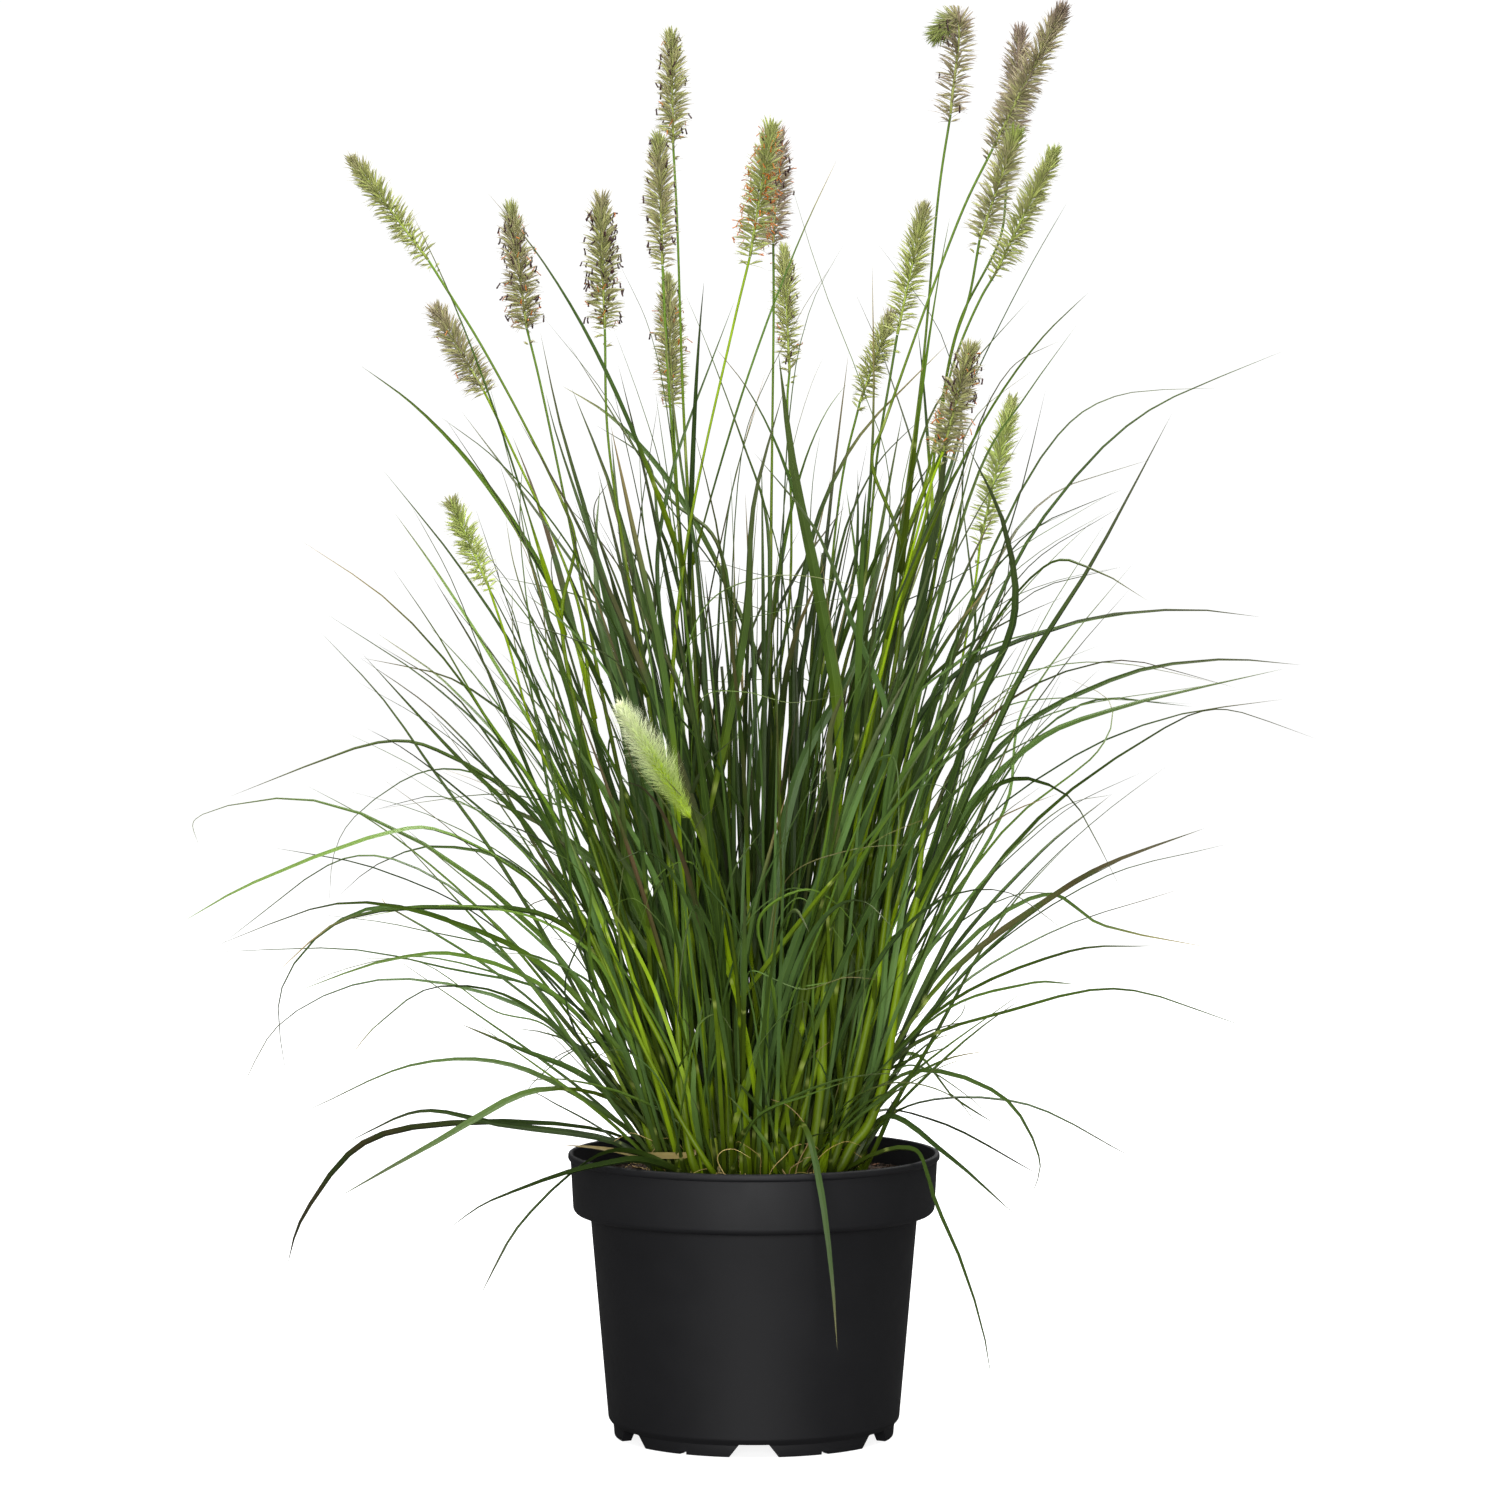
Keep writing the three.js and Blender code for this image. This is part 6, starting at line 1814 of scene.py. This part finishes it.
class FOUNTAINGRASS_OT_spikes(bpy.types.Operator):
    """Dress every flower spike with spikelets, bristles and anthers, one piece for each"""
    bl_idname = "fountaingrass.spikes"
    bl_label = "Flower spikes"

    def execute(self, context):
        scene = context.scene
        sizes, colours = scene.fountaingrass_spike, scene.fountaingrass_colours
        self.husk = material_named("spikelet", tinted_material, "spikelet", 0.6, 0.3, 900, 0.3)
        self.hair = material_named("bristle", tinted_material, "bristle", 0.5, 0.4, 900, 0.2)
        self.axis = Blank(14, 6)
        self.grain = Blank(4, 5)
        self.bristle = Blank(2, 3)
        self.pod = Blank(3, 4)
        shoots = [shoot for shoot in grow_clump() if shoot.spike]
        for number, shoot in enumerate(shoots, 1):
            growth = Growth()
            look = SPIKES[shoot.spike_number]
            draw = np.random.default_rng(50 + shoot.spike_number)
            if shoot.spike_number == SILKY_SPIKE:
                self.silky(growth, shoot.spike, sizes, colours, draw)
            else:
                self.bottlebrush(growth, shoot.spike, look, sizes, colours, draw)
            made = growth.piece("bottlebrush_%02d" % number, [self.husk, self.hair], ["tint"])
            finish_piece(made, ["flower_spike_%02d" % number])
        return {"FINISHED"}

    def add_axis(self, growth, line, tint):
        shares = np.linspace(0, 1, self.axis.rings)
        radii = lerp(0.8, 0.4, shares)
        growth.add(self.axis, tube_places(self.axis, line, radii, shares * 0.95)[None], tint=tint)

    def bottlebrush(self, growth, strand, look, sizes, colours, draw):
        """A spike of spikelets and bristles round its axis, with the anthers that hang from it."""
        line = strand.curve
        span = np.linalg.norm(np.diff(line, axis=0), axis=1).sum()
        brown = look.brown
        green, lime, ripe, fringe, rib = palette(
            colours, "spike_green", "spike_lime", "spike_brown", "spike_fringe", "sheath")
        end, = palette(colours, "spike_cap" if look.cap < 0 else "spike_fresh")
        body = lerp(lime if look.slot == "lime" else green, ripe, brown)
        edge = lerp(body, fringe, 0.3 + 0.6 * brown)
        self.add_axis(growth, line, lerp(body, rib, 0.35))
        count = int(span / (sizes.spacing / MM) * (1 - 0.35 * look.loose))
        shares = ((np.arange(count) + draw.uniform(0, 1, count)) / count) ** lerp(0.95, 0.68, look.loose)
        shares = shares * (1 - 4.2 / span)
        # A few spikelets stand on the stem below the spike.
        shares = np.append(shares, draw.uniform(-0.14, 0.0, 4))
        count = len(shares)
        inside = np.maximum(shares, 0)
        centres, forward, side, up = spike_frame(line, inside)
        centres = centres + forward * (np.minimum(shares, 0) * span)[:, None]
        turns = np.arange(count) * GOLDEN_ANGLE + draw.normal(size=count) * 0.3
        outward = around(turns, side, up)
        tilt = np.radians(lerp(80, 12, inside ** 1.8) + draw.normal(size=count) * 10)
        full = fullness(shares, 0.2 if look.top else 0.42)
        reach = strand.width * look.slim * lerp(0.64, 0.76, brown) * full * draw.uniform(0.8, 1.15, count)
        size = (reach - 0.4) / np.maximum(np.sin(tilt), 0.45) * draw.uniform(0.95, 1.15, count)
        size = np.clip(size, 3.2, 10.5)
        way = unit(np.cos(tilt)[:, None] * forward + np.sin(tilt)[:, None] * outward)
        base = centres + outward * 0.4 - forward * (0.25 * size * np.cos(tilt))[:, None]
        tip = base + way * size[:, None]
        profile = ((0.1, 0.5), (0.33, 1.0), (0.65, 0.78), (0.88, 0.34))
        fat = sizes.spikelet_radius / MM * draw.uniform(0.8, 1.25, count)
        places = spindles(self.grain, base, tip, fat, profile, sag=forward * 0.45)
        start = BENT_CAP_START if look.top else CAP_START
        capped = np.clip((inside - start) / CAP_LENGTH, 0, 1)[:, None, None] * abs(look.cap)
        ramp = np.array((0, 0, 0.1, 0.45, 0.9, 1.0))[self.grain.ring][None, :, None]
        patchy = np.clip(draw.normal(size=(count, 1, 1)) * 0.35, -0.5, 0.6)
        tint = lerp(body, edge, np.clip(ramp + patchy, 0, 1))
        tint = lerp(tint, end, np.clip(capped * (0.6 + 0.5 * ramp), 0, 1))
        growth.add(self.grain, places, tint=tint * draw.uniform(0.72, 1.25, (count, 1, 1)))
        per = BRISTLES_EACH
        start = np.repeat(base, per, axis=0)
        spread = unit(np.repeat(way, per, axis=0) + draw.normal(size=(count * per, 3)) * 0.2)
        long = np.repeat(size, per) + sizes.bristle / MM * draw.uniform(-0.3, 1.0, count * per)
        hairs = spindles(self.bristle, start, start + spread * long[:, None], sizes.bristle_radius / MM,
                         ((0.05, 1), (0.6, 0.8)), sag=np.repeat(forward, per, axis=0) * 0.5)
        hair_tint = lerp(edge, end, np.repeat(capped[:, 0], per, axis=0)[:, None] * 0.7)
        growth.add(self.bristle, hairs, 1, tint=hair_tint * draw.uniform(0.7, 1.4, (count * per, 1, 1)))
        if look.anthers:
            self.hang_anthers(growth, (shares, base, tip), look, body, sizes, colours, draw)

    def hang_anthers(self, growth, spikelets, look, body, sizes, colours, draw):
        """Anthers on threads from some of the spikelets: fresh ones hang, rusty ones stand off."""
        shares, base, tip = spikelets
        count = look.anthers
        pick = draw.choice(np.flatnonzero((shares > 0.02) & (shares < 0.84)), count)
        hang = lerp(base[pick], tip[pick], draw.uniform(0.7, 1.02, (count, 1)))
        low = shares[pick] < 0.35
        rusty = draw.random(count) < look.rust + 0.3 * low * (look.rust > 0)
        stray = draw.normal(size=(count, 3)) * np.where(rusty, 0.9, 0.35)[:, None]
        drop = unit(np.array((0, 0, -1.0)) + stray)
        long = sizes.anther / MM * draw.uniform(0.6, 1.15, count)
        bow = draw.normal(size=(count, 3)) * 0.2
        fat = sizes.anther_radius / MM * np.where(rusty, 0.6, 1)
        rods = spindles(self.pod, hang, hang + drop * long[:, None], fat,
                        ((0.1, 0.9), (0.5, 0.75), (0.88, 1.0)), sag=bow)
        shade = np.where(rusty[:, None, None], *palette(colours, "anther_rust", "anther_dark"))
        growth.add(self.pod, rods, 1, tint=shade * draw.uniform(0.6, 1.3, (count, 1, 1)))
        threads = spindles(self.bristle, lerp(base[pick], tip[pick], 0.6), hang, 0.07, ((0.1, 1), (0.9, 1)))
        growth.add(self.bristle, threads, 1, tint=lerp(body, shade, 0.3))

    def silky(self, growth, strand, sizes, colours, draw):
        """The youngest spike: a tight green core in long silky hairs."""
        line = strand.curve
        lime, silk = palette(colours, "spike_lime", "silk")
        lime = lime * (0.84, 0.98, 0.12)
        self.add_axis(growth, line, lime)
        count = SILKY_GRAINS
        shares = (np.arange(count) + draw.uniform(0, 1, count)) / count * 0.97
        centres, forward, side, up = spike_frame(line, shares)
        turns = np.arange(count) * GOLDEN_ANGLE
        outward = around(turns, side, up)
        swell = np.clip(shares / 0.35, 0.1, 1) ** 0.8 * np.clip((1.05 - shares) / 0.5, 0, 1) ** 0.6
        core = 3.4 * swell
        way = unit(forward * 0.9 + outward * 0.36)
        base = centres + outward * (core * 0.35)[:, None]
        tip = base + way * (4.6 * draw.uniform(0.8, 1.1, count))[:, None]
        places = spindles(self.grain, base, tip, 0.6, ((0.1, 0.6), (0.35, 1.0), (0.65, 0.8), (0.88, 0.35)))
        fade = np.clip((shares[:, None, None] - 0.45) / 0.5, 0, 1) * 0.8
        ramp = np.array((0, 0, 0, 0.05, 0.15, 0.3))[self.grain.ring][None, :, None]
        mood = draw.uniform(0.75, 1.15, (count, 1, 1))
        growth.add(self.grain, places, tint=lerp(lime, silk, np.clip(fade + ramp, 0, 1)) * mood)
        per = SILKS_EACH
        start = np.repeat(centres + outward * (core * 0.6)[:, None], per, axis=0)
        lean = unit(np.repeat(forward, per, axis=0) * draw.uniform(0.6, 1.1, (count * per, 1))
                    + np.repeat(outward * (0.4 + 0.65 * swell)[:, None], per, axis=0)
                    + draw.normal(size=(count * per, 3)) * 0.18)
        long = sizes.silk / MM * draw.uniform(0.35, 1.0, count * per) * np.repeat(0.35 + 0.65 * swell, per)
        end = start + lean * long[:, None]
        sag = np.repeat(outward, per, axis=0) * 0.5
        hairs = spindles(self.bristle, start, end, 0.065, ((0.05, 1), (0.55, 0.8)), sag=sag)
        ramp = np.array((0, 0.1, 0.7, 1.0))[self.bristle.ring][None, :, None]
        pale = np.clip(np.repeat(shares, per)[:, None, None] * 1.4, 0.12, 1)
        growth.add(self.bristle, hairs, 1, tint=lerp(lime, silk, pale * (0.35 + 0.65 * ramp)))


# The stage


# Each light's name, place, size and power, all aimed at the middle of the object.
LIGHTS = (
    ("front", (-0.15, -3.0, 0.6), (1.8, 1.3), 110),
    ("top", (0.1, -0.9, 2.5), (1.4, 1.4), 44),
    ("back", (0.3, 1.6, 2.8), (2.2, 1.6), 120),
    ("left", (-1.6, 0.5, 2.6), (1.2, 1.2), 32),
    ("right", (1.6, 0.5, 2.6), (1.2, 1.2), 32),
)
# The camera of the photograph, measured in its pixels.
PHOTO_WIDTH = 1500
FOCAL_LENGTH = 5502


def facing(place, aim):
    """The turn of a light or camera at a place that looks at its aim."""
    return (Vector(aim) - Vector(place)).to_track_quat("-Z", "Y").to_euler()


def area_light(name, place, aim, size, power):
    data = bpy.data.lights.new(name, "AREA")
    data.shape = "RECTANGLE"
    data.size, data.size_y = size
    data.energy = power
    light = in_scene(name, data)
    light.location = place
    light.rotation_euler = facing(place, aim)


class FOUNTAINGRASS_OT_stage(bpy.types.Operator):
    """Set the pale floor, the soft lights and the camera of the photograph's view"""
    bl_idname = "fountaingrass.stage"
    bl_label = "Stage"

    def execute(self, context):
        self.lay_floor()
        for name, place, size, power in LIGHTS:
            area_light(name, place, (0, 0, 0.25 if name == "top" else 0.3), size, power)
        self.light_world(context.scene)
        self.set_camera(context.scene)
        return {"FINISHED"}

    def lay_floor(self):
        """A floor that the camera sees fade to white and that the light meets as grey."""
        bm = bmesh.new()
        bmesh.ops.create_grid(bm, x_segments=1, y_segments=1, size=14)
        mesh = mesh_of(bm, "floor")
        floor = in_scene("floor", mesh)
        material, tree, shader = new_material("pale floor", 0.9, 0.1)
        path = tree.nodes.new("ShaderNodeLightPath")
        pale = mix_colour(tree, path.outputs["Is Camera Ray"], (0.08, 0.08, 0.08), (0.35, 0.35, 0.35))
        tree.links.new(pale, shader.inputs["Base Color"])
        shader.inputs["Emission Color"].default_value = (1, 1, 1, 1)
        away = tree.nodes.new("ShaderNodeVectorMath")
        away.operation = "LENGTH"
        tree.links.new(object_place(tree), away.inputs[0])
        far_white = smooth_step(tree, away.outputs["Value"], 0.1, 0.8, 0.86, 1.0)
        glow = times(tree, path.outputs["Is Camera Ray"], far_white)
        tree.links.new(glow, shader.inputs["Emission Strength"])
        mesh.materials.append(material)

    def light_world(self, scene):
        """A world that the camera sees as white and that gives a weak light all round."""
        world = bpy.data.worlds.new("studio")
        scene.world = world
        world.use_nodes = True
        nodes, links = world.node_tree.nodes, world.node_tree.links
        ambient = nodes["Background"]
        seen = nodes.new("ShaderNodeBackground")
        for shader, strength in ((ambient, 0.05), (seen, 1.05)):
            shader.inputs["Color"].default_value = (1, 1, 1, 1)
            shader.inputs["Strength"].default_value = strength
        path = nodes.new("ShaderNodeLightPath")
        either = nodes.new("ShaderNodeMixShader")
        links.new(path.outputs["Is Camera Ray"], either.inputs[0])
        links.new(ambient.outputs[0], either.inputs[1])
        links.new(seen.outputs[0], either.inputs[2])
        links.new(either.outputs[0], nodes["World Output"].inputs["Surface"])
        scene.view_settings.view_transform = "Standard"

    def set_camera(self, scene):
        """The camera that shows the object as the photograph does."""
        data = bpy.data.cameras.new("camera")
        data.sensor_width = 36
        data.sensor_fit = "HORIZONTAL"
        data.lens = FOCAL_LENGTH / PHOTO_WIDTH * 36
        data.clip_end = 60
        camera = in_scene("camera", data)
        camera.location = [c * MM for c in CAMERA]
        camera.rotation_euler = facing(camera.location, [c * MM for c in CAMERA_AIM])
        scene.camera = camera


class FOUNTAINGRASS_PT_panel(bpy.types.Panel):
    """Sizes, colours and steps of the potted grass"""
    bl_label = "Fountain grass"
    bl_space_type = "VIEW_3D"
    bl_region_type = "UI"
    bl_category = "Fountain grass"

    def draw(self, context):
        for operator in OPERATORS:
            self.layout.operator(operator.bl_idname)
        for attribute, group in GROUPS.items():
            box = self.layout.box()
            box.label(text=group.__doc__.rstrip("."))
            settings = getattr(context.scene, attribute)
            for name in group.__annotations__:
                box.prop(settings, name)


GROUPS = {
    "fountaingrass_pot": PotSizes,
    "fountaingrass_soil": SoilSizes,
    "fountaingrass_leaf": LeafSizes,
    "fountaingrass_spike": SpikeSizes,
    "fountaingrass_colours": PlantColours,
}
OPERATORS = (
    FOUNTAINGRASS_OT_pot,
    FOUNTAINGRASS_OT_soil,
    FOUNTAINGRASS_OT_shoots,
    FOUNTAINGRASS_OT_arching,
    FOUNTAINGRASS_OT_facing,
    FOUNTAINGRASS_OT_spikes,
    FOUNTAINGRASS_OT_stage,
)


def register():
    for item in (*GROUPS.values(), *OPERATORS, FOUNTAINGRASS_PT_panel):
        bpy.utils.register_class(item)
    for attribute, group in GROUPS.items():
        setattr(bpy.types.Scene, attribute, PointerProperty(type=group))


def unregister():
    for attribute in GROUPS:
        delattr(bpy.types.Scene, attribute)
    for item in (FOUNTAINGRASS_PT_panel, *reversed(OPERATORS), *reversed(list(GROUPS.values()))):
        bpy.utils.unregister_class(item)


def main():
    register()
    bpy.ops.fountaingrass.stage()
    bpy.ops.fountaingrass.pot()
    bpy.ops.fountaingrass.soil()
    bpy.ops.fountaingrass.shoots()
    bpy.ops.fountaingrass.arching()
    bpy.ops.fountaingrass.facing()
    bpy.ops.fountaingrass.spikes()
    for mesh in list(bpy.data.meshes):
        if not mesh.users:
            bpy.data.meshes.remove(mesh)


if __name__ == "__main__":
    main()
